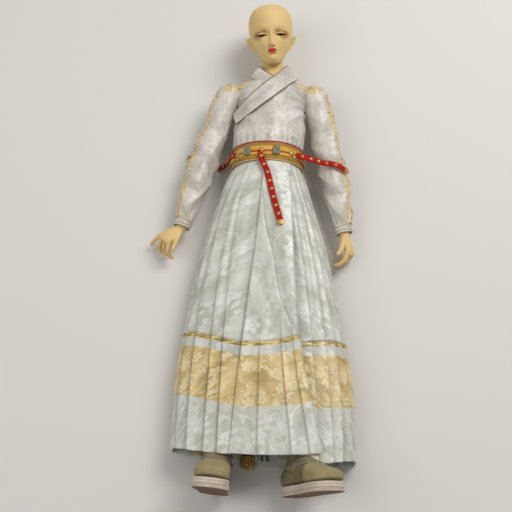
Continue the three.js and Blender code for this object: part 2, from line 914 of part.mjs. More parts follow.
for (const [name, side] of sides) {
  const hip = group(doll, `${name}_hip`, vector(side * hipSpread, 0, 0), [0, 0, side * legSpread[name]]);
  add(hip, `${name}_thigh`, thigh(), resin);
  const knee = group(hip, `${name}_knee`, vector(0, -thighLength, 0));
  add(knee, `${name}_shin`, shin(), resin);
  add(knee, `${name}_boot_shaft`, bootShaft(), suede);
  const footPose = [footPoint, side * footTurn[name], 0];
  const ankle = group(knee, `${name}_ankle`, vector(0, -shinLength, 0), footPose);
  add(ankle, `${name}_foot`, foot(), resin);
  add(ankle, `${name}_boot_vamp`, bootVamp(), toeLeather);
  const midsoleTop = vampBottom - seatGap;
  add(ankle, `${name}_midsole`, soleSlab(soleLip, midsoleTop, midsoleHeight), midsoleRubber);
  const outsoleTop = midsoleTop - midsoleHeight - seatGap;
  add(ankle, `${name}_outsole`, soleSlab(soleLip + 0.6, outsoleTop, outsoleHeight), outsoleRubber);
}

// Robe bodice: rings from under the sash to the neck, as [height, half width, half depth, forward lean]

const sashInner = {
  half: sashWidth / 2 - sashThickness - sashRoom,
  deep: sashDepth / 2 - sashThickness - sashRoom,
};
const bodiceHem = sashTop - sashHeight * 0.4;
const bodiceStations = [
  [bodiceHem, sashInner.half, sashInner.deep, 0],
  [sashTop + 1, sashInner.half, sashInner.deep, 0],
  [sashTop + 16, bodiceWidth / 2 - 4.5, bodiceDepth / 2 + 1, 0],
  [waistRise + 40, bodiceWidth / 2 - 4.5, bodiceDepth / 2 + 1, 0],
  [shoulderY - 24, bodiceWidth / 2 - 8, bodiceDepth / 2, 0],
  [shoulderY - 8, bodiceWidth / 2 - 4, bodiceDepth / 2 - 1, 0],
  [shoulderY + 4, bodiceWidth / 2, bodiceDepth / 2 - 4, 0],
  [shoulderY + 12, yokeWidth / 2 - 1, bodiceDepth / 2 - 8, -1],
  [shoulderY + 17, yokeWidth / 2 - 12, bodiceDepth / 2 - 13, -2],
  [neckBaseY + 1, neckWidth / 2 + 8.5, neckWidth / 2 + 6.5, -4],
];

function bodiceAt(y) {
  return {
    half: between(bodiceStations.map(([place, half]) => [place, half]), y),
    deep: between(bodiceStations.map(([place, , deep]) => [place, deep]), y),
  };
}

function bodice() {
  const rings = (inset) => bodiceStations.map(([y, half, deep, lean]) =>
    oval({ y, halfWidth: half - inset, front: deep - inset, lean }, clothSides + 6));
  const armholes = sides.map(([, side]) =>
    socket(sleeveCrown + armholeRoom, side * shoulderSpread, shoulderY, 0));
  return cut(sheet(rings(0), rings(clothThickness), true), ...armholes);
}

// Collars: two bands that stand round the neck and cross on the chest

// A place on the chest, at a share of the half width from the middle, lifted off the bodice.
function onChest(share, y, lift) {
  const { half, deep } = bodiceAt(y);
  const angle = Math.asin(share);
  const normal = vector(Math.sin(angle) / half, 0, Math.cos(angle) / deep).normalize();
  const point = vector(half * Math.sin(angle), y, deep * Math.cos(angle));
  return { point: point.addScaledVector(normal, lift), normal };
}

// A place on the standing part, at an angle round the neck from its front.
function roundNeck(angle, y, radius) {
  const normal = vector(Math.sin(radians(angle)), 0, Math.cos(radians(angle)));
  return { point: normal.clone().multiplyScalar(radius).setY(y), normal };
}

function collar(side, lift, endShare, endY) {
  const stand = neckWidth / 2 + collarStand / 2 - 1 + lift;
  const top = neckBaseY + collarStand / 2;
  const chest = bodiceAt(shoulderY).deep;
  const places = [
    roundNeck(side * 176, top + 3, stand),
    roundNeck(side * 130, top + 2, stand),
    roundNeck(side * 90, top + 1, stand + 2),
    roundNeck(side * 52, top - 6, stand + 7),
    {
      point: vector((side * neckWidth) / 2, shoulderY + 11, chest - 1 + lift),
      normal: vector(side * 0.35, 0.3, 0.9),
    },
    onChest(-side * 0.1, lerp(shoulderY, endY, 0.2), lift),
    onChest(-side * endShare * 0.6, lerp(shoulderY, endY, 0.62), lift),
    onChest(-side * endShare, endY, lift),
  ];
  const samples = 14;
  const line = new THREE.CatmullRomCurve3(places.map((place) => place.point)).getPoints(samples);
  const faces = new THREE.CatmullRomCurve3(places.map((place) => place.normal)).getPoints(samples);
  return strip(line, faces.map((face) => face.normalize()), collarWidth, clothThickness);
}

// Sleeves: tubes about each arm bone, domed at the shoulder and lower on their outer side

const sleeveHalf = sleeveWidth / 2;
const sleeveCrown = sleeveHalf;

// A sleeve's reach from the arm bone: more to the outside and the back, less to the front and the body.
function sleeveReach(radius, outward, forward) {
  return radius * (1 + sleeveLean * (outward - 0.4 * forward - 0.35));
}

function sleeve(side, stations) {
  const ring = ([y, radius, fold], inset) => Array.from({ length: clothSides }, (_, i) => {
    const angle = (2 * Math.PI * i) / clothSides;
    const reach = sleeveReach(radius, side * Math.sin(angle), Math.cos(angle)) - inset;
    const crease = fold * Math.cos(4 * angle + y / 9);
    return vector((reach + crease) * Math.sin(angle), y, (reach + crease) * Math.cos(angle));
  });
  return sheet(
    stations.map((station) => ring(station, 0)),
    stations.map((station) => ring(station, clothThickness)),
    true,
  );
}

function upperSleeve(side, armTurn) {
  const dome = [0.92, 0.6].map((share) => [
    sleeveCrown * share,
    sleeveCrown * Math.sqrt(1 - share ** 2),
    0,
  ]);
  const whole = sleeve(side, [
    ...dome,
    [0, sleeveHalf, 0],
    [-upperArmLength * 0.25, sleeveHalf, 0.3],
    [-upperArmLength * 0.51, sleeveHalf + 0.5, 0.7],
    [-upperArmLength * 0.78, sleeveHalf, 0.7],
    [-upperArmLength + seatGap, sleeveHalf, 0.4],
  ]);
  const torsoSide = block(
    vector(-shoulderSpread * 2, -shoulderSpread * 2, -shoulderSpread),
    vector(-(shoulderSpread - yokeWidth / 2 - seatGap * 2), shoulderSpread * 2, shoulderSpread),
  );
  if (side < 0) {
    torsoSide.rotateZ(Math.PI);
  }
  return cut(whole, torsoSide.applyMatrix4(armTurn.clone().invert()));
}

function lowerSleeve(side) {
  const wrist = sleeveWristWidth / 2;
  const end = -forearmLength + cuffLength + seatGap * 2;
  return sleeve(side, [
    [-seatGap, sleeveHalf, 0.4],
    [-forearmLength * 0.24, sleeveHalf + 0.5, 0.7],
    [-forearmLength * 0.51, lerp(sleeveHalf, wrist, 0.35), 0.7],
    [end + cuffLength, lerp(sleeveHalf, wrist, 0.8), 0.5],
    [end, wrist, 0.2],
  ]);
}

function cuff() {
  const rings = (inset) => [-forearmLength + cuffLength, -forearmLength + 1].map((y) =>
    oval({ y, halfWidth: cuffWidth / 2 - inset, front: cuffWidth / 2 - inset - 1.5 }, clothSides));
  return sheet(rings(0), rings(clothThickness), true);
}

add(doll, "bodice", bodice(), robeCloth);
const collarLift = clothThickness + seatGap * 3;
add(doll, "inner_collar", collar(-1, collarRest, 0.3, shoulderY - innerCollarDrop), pipedCloth);
add(doll, "outer_collar", collar(1, collarRest + collarLift, 0.93, shoulderY - outerCollarDrop), pipedCloth);
for (const [name, side] of sides) {
  const { arm, elbow } = armFrames[name];
  arm.updateMatrix();
  const turn = new THREE.Matrix4().extractRotation(arm.matrix);
  add(arm, `${name}_upper_sleeve`, upperSleeve(side, turn), robeCloth);
  add(elbow, `${name}_lower_sleeve`, lowerSleeve(side), robeCloth);
  add(elbow, `${name}_cuff`, cuff(), pipedCloth);
}

// Sash and belt

function band(bottom, top, half, deep, thickness) {
  const rings = (inset) => [top, bottom].map((y) =>
    oval({ y, halfWidth: half - inset, front: deep - inset }, clothSides + 10));
  return sheet(rings(0), rings(thickness), true);
}

const beltMiddle = sashTop - sashHeight / 2;
const beltHalf = sashWidth / 2 + seatGap + beltThickness;
const beltDeep = sashDepth / 2 + seatGap + beltThickness;

// A place on the front of the belt, and the way out of it.
function onBelt(x) {
  const angle = Math.asin(x / beltHalf);
  const normal = vector(Math.sin(angle) / beltHalf, 0, Math.cos(angle) / beltDeep).normalize();
  return { point: vector(x, beltMiddle, beltDeep * Math.cos(angle)), normal };
}

function plaque(x) {
  const { point, normal } = onBelt(x);
  const plate = new THREE.Shape();
  const half = plaqueSize / 2;
  const corner = plaqueSize * 0.2;
  plate.moveTo(-half + corner, -half);
  plate.lineTo(half - corner, -half);
  plate.lineTo(half, -half + corner);
  plate.lineTo(half, half - corner);
  plate.lineTo(half - corner, half);
  plate.lineTo(-half + corner, half);
  plate.lineTo(-half, half - corner);
  plate.lineTo(-half, -half + corner);
  const slab = new THREE.ExtrudeGeometry(plate, { depth: plaqueThickness, bevelEnabled: false });
  const turn = new THREE.Quaternion().setFromUnitVectors(vector(0, 0, 1), normal);
  const seat = point.clone().addScaledVector(normal, plaqueRise);
  return slab.applyQuaternion(turn).translate(seat.x, seat.y, seat.z);
}

add(doll, "sash", band(
  sashTop - sashHeight,
  sashTop,
  sashWidth / 2,
  sashDepth / 2,
  sashThickness,
), sashCloth);
add(doll, "belt", band(
  beltMiddle - beltHeight / 2,
  beltMiddle + beltHeight / 2,
  beltHalf,
  beltDeep,
  beltThickness,
), beltCloth);
for (const [name, side] of sides) {
  add(doll, `${name}_plaque`, plaque(plaqueMiddle + side * plaqueSpread), jade);
}

// Skirt: two wrapped panels, the right one over the left in front, each with a sewn border

const skirtFlare = skirtHemWidth / 2 - sashInner.half;
const pleatAngle = columnAngle * 2;
const tuckedShare = (skirtTop - sashTop + sashHeight + 1) / skirtLength;

// A place on the skirt's outside: share 0 at the waist and 1 at the hem, angle from -90 (back) to 90 (front).
function onSkirt(side, share, angle, sink) {
  const below = Math.max(0, (share - tuckedShare) / (1 - tuckedShare));
  const half = sashInner.half + skirtFlare * Math.sin((Math.PI / 2) * below ** 0.8);
  const shift = -skirtShift * Math.sin(Math.PI * below ** 0.4);
  const settle = smoothstep(below, 0, 0.16);
  const edge = lerp(0, floorZ + floorLift + 4, settle);
  const pastAnkle = share * (skirtLength + skirtFrontDrop) - skirtTop - thighLength - shinLength;
  const overToes = toeRoom * smoothstep(pastAnkle, 0, toeRamp);
  const top = lerp(sashInner.deep, floorZ + skirtHemHeight, share) + overToes;
  const bottom = lerp(-sashInner.deep, floorZ + floorLift, smoothstep(below, 0, 0.1));
  const power = 2 / lerp(2, skirtRoundness, settle);
  const turn = radians(angle);
  const [c, n] = [Math.cos(turn), Math.sin(turn)];
  const wide = Math.sign(c) * Math.abs(c) ** power;
  const high = Math.sign(n) * Math.abs(n) ** power;
  const fold = Math.abs((((angle + 90) / pleatAngle) % 1) - 0.5) * 2;
  const inset = sink + pleatDepth * below * fold * smoothstep(n, -0.2, 0.3);
  const fall = skirtLength + (n > 0 ? skirtFrontDrop * n * n : skirtFrontDrop * 0.6 * n * n);
  const reach = high > 0 ? top - edge - inset : edge - bottom - sink * 0.5;
  return vector(shift + side * (half - inset) * wide, skirtTop - share * fall, edge + high * reach);
}

function skirtPiece(side, shares, lastColumn, tuck) {
  const grid = (inset) => shares.map((share) => Array.from({ length: lastColumn + 1 }, (_, column) => {
    const angle = Math.max(-90 + 0.3, -90 + column * columnAngle);
    const under = tuck * smoothstep(angle, 20, 45);
    return onSkirt(side, share, angle, inset + under);
  }));
  return sheet(grid(0), grid(clothThickness), false);
}

// Rows of a skirt piece, closer together towards the waist.
function skirtRows(from, to, count) {
  return Array.from({ length: count }, (_, row) => lerp(from, to, (row / (count - 1)) ** 1.4));
}

const borderSeam = seatGap / skirtLength;
const panelRows = [0.01, ...skirtRows(tuckedShare, borderShare - borderSeam, 6)];
const borderRows = skirtRows(borderShare + borderSeam, 1, 5);
for (const [name, side] of sides) {
  const [lastColumn, tuck] = side < 0 ? [overlapColumn, 0] : [tuckColumn, clothThickness + seatGap * 3];
  add(doll, `${name}_skirt_panel`, skirtPiece(side, panelRows, lastColumn, tuck), skirtCloth);
  add(doll, `${name}_skirt_border`, skirtPiece(side, borderRows, lastColumn, tuck), borderCloth);
}

// Straps: red leather with round studs and a metal tip, each along its own line of points

// Studs stand on the strap at an even pitch, and a rounded tip closes its free end.
function studdedStrap(line, normals) {
  const samples = 9;
  const curve = new THREE.CatmullRomCurve3(line);
  const face = new THREE.CatmullRomCurve3(normals);
  const points = curve.getSpacedPoints(samples);
  const faces = points.map((_, i) => face.getPoint(i / samples).normalize());
  const leather = strip(points, faces, strapWidth, strapThickness);
  const count = Math.floor((curve.getLength() - studPitch / 2) / studPitch);
  const studs = Array.from({ length: count }, (_, i) => {
    const share = ((i + 0.7) * studPitch) / curve.getLength();
    const way = face.getPoint(share).normalize();
    const seat = curve.getPointAt(share).addScaledVector(way, strapThickness - 0.4);
    return rod(studRadius, seat, seat.clone().addScaledVector(way, studRise + 0.4), 6);
  });
  return join(leather, ...studs);
}

// A place on the front of the skirt, lifted clear of its folds.
function onSkirtFront(x, y) {
  const share = (skirtTop - y) / (skirtLength + skirtFrontDrop);
  const point = onSkirt(1, share, 90, -strapThickness);
  return vector(x, y, point.z);
}

// A strap's start on the belt, clear of its face.
function strapStart(x) {
  const { point, normal } = onBelt(x);
  return { point: point.addScaledVector(normal, seatGap), normal };
}

const up = vector(0, 0, 1);
const frontStart = strapStart(frontStrapX);
const beltEdge = frontStart.point.clone().add(vector(0, -beltHeight / 2 - strapThickness, seatGap));
const frontStrapLine = [0.3, 0.6, 1].map((share) =>
  onSkirtFront(frontStrapX + frontStrapDrift * share ** 1.3, beltMiddle - frontStrapLength * share));
add(doll, "front_strap", studdedStrap(
  [frontStart.point, beltEdge, ...frontStrapLine],
  [frontStart.normal, frontStart.normal, up, up, up],
), redLeather);

// A place on top of the left sleeve at its elbow, at an angle from the sleeve's highest line.
function overLeftSleeve(angle) {
  const turn = radians(angle);
  const across = vector(Math.sin(turn), 0, Math.cos(turn));
  const reach = sleeveReach(sleeveHalf, across.x, across.z) + strapRest;
  const elbowX = shoulderSpread + upperArmLength * Math.sin(radians(armSpread.left));
  const elbowZ = -upperArmLength * Math.sin(radians(armDrop));
  const point = vector(elbowX, beltMiddle - leftStrapSlope * (0.5 + angle / 120), elbowZ);
  return { point: point.addScaledVector(across, reach), normal: across };
}

const leftStart = strapStart(leftStrapX);
const overSleeve = [-20, 0, 35, 64].map(overLeftSleeve);
const dip = leftStart.point.clone().lerp(overSleeve[0].point, 0.6);
const leftStrap = [leftStart, { point: dip, normal: vector(0.3, 0, 0.95) }, ...overSleeve];
add(doll, "left_strap", studdedStrap(
  leftStrap.map((place) => place.point),
  leftStrap.map((place) => place.normal),
), redLeather);

// The right strap drops beside the belt and lies out along the floor under the sleeve.
const rightStart = strapStart(rightStrapX);
const strapFloor = floorZ + floorLift + seatGap * 2;
const floorPlace = (share, lift) => vector(
  -beltHalf - rightStrapReach * share,
  beltMiddle + rightStrapSlope * share ** 0.7,
  strapFloor + lift,
);
const beside = (share, rise) => vector(
  -beltHalf - rightStrapReach * share,
  beltMiddle + rightStrapSlope * share ** 0.5,
  lerp(strapFloor, rightStart.point.z, rise),
);
add(doll, "right_strap", studdedStrap([
  rightStart.point,
  beside(0.06, 0.72),
  beside(0.14, 0.32),
  floorPlace(0.3, strapThickness),
  floorPlace(0.64, 0),
  floorPlace(1, 0),
], [
  rightStart.normal,
  vector(-1, 0, 0.3),
  vector(-0.9, 0, 0.5),
  vector(-0.3, 0, 1),
  up,
  up,
]), redLeather);

// Ribbon tails of the waist tie, lying inside the skirt on its back and showing at the hem

const tailRest = floorZ + floorLift + clothThickness + seatGap;

function tail(startX, tip) {
  const steps = 8;
  const sashBottom = sashTop - sashHeight;
  const start = vector(startX, sashBottom - tailDrop, tailRest + tailDrop);
  const low = vector(lerp(startX, tip.x, 0.12), sashBottom - tailDrop * 6, tailRest);
  const end = vector(tip.x, tip.y, tailRest);
  const line = [start, ...Array.from({ length: steps }, (_, i) => low.clone().lerp(end, i / (steps - 1)))];
  return strip(line, line.map(() => up), tailWidth, tailThickness);
}

for (const [name] of sides) {
  add(doll, `${name}_tail`, tail(tailStart[name], tailEnd[name]), sashCloth);
}

// The origin is under the middle of the doll, on the floor that it lies on.
const bounds = new THREE.Box3().setFromObject(doll, true);
const middle = bounds.getCenter(vector());
doll.position.set(-middle.x, -middle.y, -bounds.min.z);
doll.updateMatrixWorld(true);

export default doll;
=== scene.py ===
"""A ball-jointed doll in a crossed-collar robe, wrap skirt and boots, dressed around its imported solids.

Shapes are worked out in millimetres from the middle of the hip line, with +X to the doll's left hand,
+Y to its head and +Z up from the floor it lies on. to_scene() turns them into the frame's metres.
"""

import json
import math

import bmesh
import bpy
import mathutils
import numpy as np
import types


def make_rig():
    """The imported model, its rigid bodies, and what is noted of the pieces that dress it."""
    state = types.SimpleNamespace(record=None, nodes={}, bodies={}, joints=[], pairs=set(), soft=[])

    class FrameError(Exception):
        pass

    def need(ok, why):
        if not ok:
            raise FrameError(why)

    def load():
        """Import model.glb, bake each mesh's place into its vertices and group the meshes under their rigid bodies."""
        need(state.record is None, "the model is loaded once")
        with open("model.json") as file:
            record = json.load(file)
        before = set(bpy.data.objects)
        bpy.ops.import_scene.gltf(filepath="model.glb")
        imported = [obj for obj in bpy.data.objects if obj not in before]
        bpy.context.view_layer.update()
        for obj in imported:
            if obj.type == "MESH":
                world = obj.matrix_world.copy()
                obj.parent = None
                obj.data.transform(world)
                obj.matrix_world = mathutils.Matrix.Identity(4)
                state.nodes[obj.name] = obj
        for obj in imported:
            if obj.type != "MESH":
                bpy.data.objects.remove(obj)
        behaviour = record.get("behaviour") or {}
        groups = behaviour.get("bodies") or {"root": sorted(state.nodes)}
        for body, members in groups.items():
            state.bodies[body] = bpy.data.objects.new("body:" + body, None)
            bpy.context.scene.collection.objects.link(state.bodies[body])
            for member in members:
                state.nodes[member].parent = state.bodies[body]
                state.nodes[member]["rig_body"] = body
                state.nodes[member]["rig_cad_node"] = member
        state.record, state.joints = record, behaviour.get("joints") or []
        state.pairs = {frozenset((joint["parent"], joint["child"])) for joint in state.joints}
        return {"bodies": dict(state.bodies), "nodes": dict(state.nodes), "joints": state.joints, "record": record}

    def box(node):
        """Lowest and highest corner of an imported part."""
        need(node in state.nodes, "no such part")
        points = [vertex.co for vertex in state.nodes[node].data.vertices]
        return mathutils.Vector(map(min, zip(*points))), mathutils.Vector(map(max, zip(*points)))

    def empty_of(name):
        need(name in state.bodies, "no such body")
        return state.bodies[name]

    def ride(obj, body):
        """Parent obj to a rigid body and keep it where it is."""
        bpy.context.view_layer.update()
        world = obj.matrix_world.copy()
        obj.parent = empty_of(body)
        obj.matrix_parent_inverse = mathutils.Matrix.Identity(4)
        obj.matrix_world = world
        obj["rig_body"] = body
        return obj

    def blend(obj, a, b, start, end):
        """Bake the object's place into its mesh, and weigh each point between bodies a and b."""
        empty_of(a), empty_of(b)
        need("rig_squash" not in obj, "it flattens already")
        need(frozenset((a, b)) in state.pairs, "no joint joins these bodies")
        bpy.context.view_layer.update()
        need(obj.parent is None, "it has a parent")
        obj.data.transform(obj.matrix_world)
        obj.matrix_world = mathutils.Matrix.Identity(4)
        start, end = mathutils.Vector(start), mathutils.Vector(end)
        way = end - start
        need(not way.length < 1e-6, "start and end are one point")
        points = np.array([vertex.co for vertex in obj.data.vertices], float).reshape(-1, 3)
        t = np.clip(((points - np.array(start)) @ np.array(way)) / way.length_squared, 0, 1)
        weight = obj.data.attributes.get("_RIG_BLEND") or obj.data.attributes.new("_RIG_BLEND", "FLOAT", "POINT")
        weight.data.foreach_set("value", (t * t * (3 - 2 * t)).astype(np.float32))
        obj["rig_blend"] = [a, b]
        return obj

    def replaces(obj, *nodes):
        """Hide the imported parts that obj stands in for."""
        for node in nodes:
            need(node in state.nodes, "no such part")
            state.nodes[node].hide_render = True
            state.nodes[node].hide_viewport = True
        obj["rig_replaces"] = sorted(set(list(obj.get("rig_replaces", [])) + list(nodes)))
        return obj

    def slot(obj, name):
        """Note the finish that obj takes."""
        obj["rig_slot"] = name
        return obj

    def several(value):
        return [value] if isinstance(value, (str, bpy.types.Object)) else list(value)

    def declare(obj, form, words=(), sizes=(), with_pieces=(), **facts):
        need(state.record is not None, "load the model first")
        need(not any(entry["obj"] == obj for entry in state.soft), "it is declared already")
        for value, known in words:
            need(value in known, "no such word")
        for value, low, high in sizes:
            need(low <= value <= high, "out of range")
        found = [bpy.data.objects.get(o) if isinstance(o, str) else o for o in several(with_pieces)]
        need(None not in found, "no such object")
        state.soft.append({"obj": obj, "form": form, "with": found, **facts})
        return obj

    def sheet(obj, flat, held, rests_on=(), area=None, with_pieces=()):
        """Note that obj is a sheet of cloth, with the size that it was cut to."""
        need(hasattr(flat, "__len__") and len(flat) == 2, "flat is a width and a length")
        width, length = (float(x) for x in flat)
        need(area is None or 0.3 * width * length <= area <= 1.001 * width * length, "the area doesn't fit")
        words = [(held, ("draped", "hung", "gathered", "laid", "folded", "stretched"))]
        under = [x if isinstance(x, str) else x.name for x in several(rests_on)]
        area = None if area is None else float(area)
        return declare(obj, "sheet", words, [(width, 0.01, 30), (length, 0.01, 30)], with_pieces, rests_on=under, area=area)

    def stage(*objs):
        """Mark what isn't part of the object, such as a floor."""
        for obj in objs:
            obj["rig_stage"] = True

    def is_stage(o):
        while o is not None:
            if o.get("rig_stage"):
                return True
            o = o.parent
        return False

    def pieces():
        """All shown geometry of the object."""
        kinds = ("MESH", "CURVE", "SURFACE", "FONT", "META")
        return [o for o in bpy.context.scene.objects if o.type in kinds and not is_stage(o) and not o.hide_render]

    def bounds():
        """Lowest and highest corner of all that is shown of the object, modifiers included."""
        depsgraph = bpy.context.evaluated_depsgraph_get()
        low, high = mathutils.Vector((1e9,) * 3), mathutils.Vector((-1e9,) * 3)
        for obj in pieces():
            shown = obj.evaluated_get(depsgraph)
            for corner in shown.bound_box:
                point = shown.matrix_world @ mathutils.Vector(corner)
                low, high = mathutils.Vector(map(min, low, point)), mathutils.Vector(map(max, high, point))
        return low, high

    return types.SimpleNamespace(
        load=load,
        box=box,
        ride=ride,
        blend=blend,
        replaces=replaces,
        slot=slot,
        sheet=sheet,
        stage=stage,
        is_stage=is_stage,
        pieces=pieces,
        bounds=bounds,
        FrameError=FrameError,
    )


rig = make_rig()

bl_info = {
    "name": "Ball-jointed doll",
    "version": (1, 0, 0),
    "blender": (4, 5, 0),
    "location": "3D View > Sidebar > Doll",
    "description": "Dresses the packed ball-jointed doll with its face, robe, skirt and boots",
    "category": "Object",
}

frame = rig.load()
CAD_BOX = [[float(value) for value in corner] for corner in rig.bounds()]

MM = 0.001
X_AXIS, Y_AXIS, Z_AXIS = np.eye(3)
SIDES = {"right": -1, "left": 1}
JOINTS = {joint["name"]: joint for joint in frame["joints"]}
SOLES = {mount["name"].split("_")[0]: mount for mount in frame["record"]["mounts"]}
HIP_MIDDLE = np.mean([JOINTS[f"{side}_hip_bend"]["pos_m"] for side in SIDES], axis=0)
FLOOR = -HIP_MIDDLE[2] / MM


# Numbers and frames


def to_scene(points):
    """Metres in the frame, from millimetres from the middle of the hip line."""
    return HIP_MIDDLE + np.asarray(points) * MM


def joint_centre(name):
    """A joint's centre in millimetres from the middle of the hip line."""
    return (np.array(JOINTS[name]["pos_m"]) - HIP_MIDDLE) / MM


def joint_axis(name):
    """A joint's axis as a unit vector."""
    axis = np.array(JOINTS[name]["axis"], float)
    return axis / np.linalg.norm(axis)


def node_box(name):
    """Lowest and highest corner of a CAD node, in millimetres from the middle of the hip line."""
    return [(np.array(corner) - HIP_MIDDLE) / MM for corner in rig.box(name)]


def unit(vectors):
    """Vectors divided by their own length."""
    vectors = np.asarray(vectors, float)
    return vectors / np.maximum(np.linalg.norm(vectors, axis=-1, keepdims=True), 1e-9)


def mix(a, b, share):
    """a at share 0, b at share 1, on a straight line."""
    return a + (b - a) * share


def ease(x, low, high):
    """Smoothstep: 0 below low, 1 above high, 3t^2 - 2t^3 between."""
    t = np.clip((x - low) / (high - low), 0, 1)
    return t * t * (3 - 2 * t)


def hill(x, centre, width):
    """A bell, exp(-((x - centre) / width)^2)."""
    return np.exp(-(((x - centre) / width) ** 2))


def crest(phase):
    """A fold's section, 1 - |sin(phase)|: sharp at its crest and round in its valley."""
    return 1 - np.abs(np.sin(phase))


def profile(places, stations):
    """A smooth curve through (place, value) stations: cubic Hermite spans with central slopes."""
    at, value = np.asarray(stations, float).T
    slope = np.gradient(value, at)
    i = np.clip(np.searchsorted(at, places, side="right") - 1, 0, len(at) - 2)
    gap = at[i + 1] - at[i]
    t = np.clip((places - at[i]) / gap, 0, 1)
    rise = (1 + 2 * t) * (1 - t) ** 2 * value[i] + t * (1 - t) ** 2 * gap * slope[i]
    return rise + t * t * (3 - 2 * t) * value[i + 1] + t * t * (t - 1) * gap * slope[i + 1]


def full_turn(count):
    """Even angles once round, with the last on the first."""
    return np.linspace(0, 2 * math.pi, count)


def run_along(points):
    """The run from the first point to each point of a line."""
    return np.concatenate([[0], np.cumsum(np.linalg.norm(np.diff(points, axis=0), axis=1))])


def grid_of(*parts):
    """A grid of points or UV from its coordinates, each spread over all the rows and columns."""
    return np.stack(np.broadcast_arrays(*parts), 2)


def path_through(points, count, *carried):
    """A smooth line of evenly placed samples through points, with other values carried along it."""
    values = np.concatenate([np.asarray(part, float) for part in (points, *carried)], axis=1)
    chord = run_along(values[:, :3])
    fine = np.linspace(0, chord[-1], count * 8)
    line = np.stack([profile(fine, np.stack([chord, axis], 1)) for axis in values.T], 1)
    run = run_along(line[:, :3])
    even = np.linspace(0, run[-1], count)
    placed = np.stack([np.interp(even, run, axis) for axis in line.T], 1)
    return np.split(placed, 1 + len(carried), axis=1) if carried else placed


def turn(degrees, axis):
    """The rotation matrix by an angle about X, Y or Z."""
    c, s = math.cos(math.radians(degrees)), math.sin(math.radians(degrees))
    i, j = {"X": (1, 2), "Y": (2, 0), "Z": (0, 1)}[axis]
    matrix = np.eye(3)
    matrix[i, i] = matrix[j, j] = c
    matrix[i, j], matrix[j, i] = -s, s
    return matrix


class Frame:
    """A joint's own frame: its centre, and its X, Y and Z axes as rows."""

    def __init__(self, centre, x, y):
        self.centre = np.asarray(centre, float)
        self.axes = np.stack([x, y, np.cross(x, y)])

    def out(self, points):
        """Points of this frame in the doll's own frame."""
        return self.centre + np.asarray(points) @ self.axes

    def turned(self, matrix):
        """The same centre with axes turned by a matrix in this frame."""
        axes = (self.axes.T @ matrix).T
        return Frame(self.centre, axes[0], axes[1])


def limb_frame(joint, end, x_axis):
    """A limb's frame at its upper joint: Y runs back along the limb and X along its hinge."""
    centre = joint_centre(joint)
    back = centre - joint_centre(end)
    return Frame(centre, x_axis, back / np.linalg.norm(back)), np.linalg.norm(back)


ARM, FOREARM, LEG, CALF, FOOT, HAND = {}, {}, {}, {}, {}, {}
# Degrees by which each hand lies turned about its own X, Y and Z
HAND_TURN = {"right": (-22, -18, -35), "left": (-6, 62, 8)}
for _side in SIDES:
    _elbow = -joint_axis(f"{_side}_elbow_bend")
    ARM[_side], UPPER_ARM_LENGTH = limb_frame(f"{_side}_shoulder_swing", f"{_side}_elbow_bend", _elbow)
    FOREARM[_side], FOREARM_LENGTH = limb_frame(f"{_side}_elbow_bend", f"{_side}_wrist_bend", _elbow)
    _hip = -joint_axis(f"{_side}_hip_bend")
    LEG[_side], _ = limb_frame(f"{_side}_hip_bend", f"{_side}_knee_bend", _hip)
    CALF[_side], SHIN_LENGTH = limb_frame(f"{_side}_knee_bend", f"{_side}_ankle_bend", _hip)
    _up = -np.array(SOLES[_side]["axis"], float)
    _ankle = f"{_side}_ankle_bend"
    FOOT[_side] = Frame(joint_centre(_ankle), -joint_axis(_ankle), unit(_up))
    _about_x, _about_y, _about_z = HAND_TURN[_side]
    _wrist = turn(_about_x, "X") @ turn(_about_y, "Y") @ turn(_about_z, "Z")
    HAND[_side] = Frame(joint_centre(f"{_side}_wrist_bend"), *FOREARM[_side].axes[:2]).turned(_wrist)


# Meshes


def weave_uv(points):
    """UV in decimetres: the mean length across the columns, and the length down each column."""
    across = np.linalg.norm(np.diff(points, axis=1), axis=2).mean(axis=0)
    down = np.linalg.norm(np.diff(points, axis=0), axis=2)
    u = np.concatenate([[0], np.cumsum(across)]) / 100
    v = np.concatenate([np.zeros((1, points.shape[1])), np.cumsum(down, axis=0)]) / 100
    return np.stack([np.broadcast_to(u, v.shape), v], axis=2)


def grid_normals(points, wrap):
    """Unit normals of a grid: the cross product of its two gradients, round the seam if it wraps."""
    if wrap:
        points = np.concatenate([points[:, -2:-1], points, points[:, 1:2]], axis=1)
    across = np.gradient(points, axis=1)
    down = np.gradient(points, axis=0)
    normals = unit(np.cross(across, down))
    return normals[:, 1:-1] if wrap else normals


def shell(points, thickness, uv=None, wrap=False, outward=None):
    """Cloth of even thickness: a grid, the grid moved in along its normals, and the rims between."""
    uv = weave_uv(points) if uv is None else uv
    normals = grid_normals(points, wrap)
    away = points - points.mean(axis=(0, 1)) if outward is None else np.asarray(outward, float)
    if np.sum(normals * away) < 0:
        normals = -normals
    inner = points - normals * thickness
    grids = [(points, uv), (inner, uv)]
    for row in (0, -1):
        grids.append((np.stack([points[row], inner[row]]), np.stack([uv[row], uv[row]])))
    if not wrap:
        for column in (0, -1):
            edge = np.stack([points[:, column], inner[:, column]])
            grids.append((edge, np.stack([uv[:, column], uv[:, column]])))
    return grids


def cut_size(grid):
    """The flat cut of a grid of cloth, in metres: its widest row and longest column, and its area."""
    across, down = (
        np.linalg.norm(np.diff(grid, axis=axis), axis=2).sum(axis=axis).max() for axis in (1, 0)
    )
    corner = grid[:-1, :-1]
    area = np.linalg.norm(np.cross(grid[1:, :-1] - corner, grid[:-1, 1:] - corner), axis=2).sum()
    return {"flat": (across * MM, down * MM), "area": area * MM * MM}


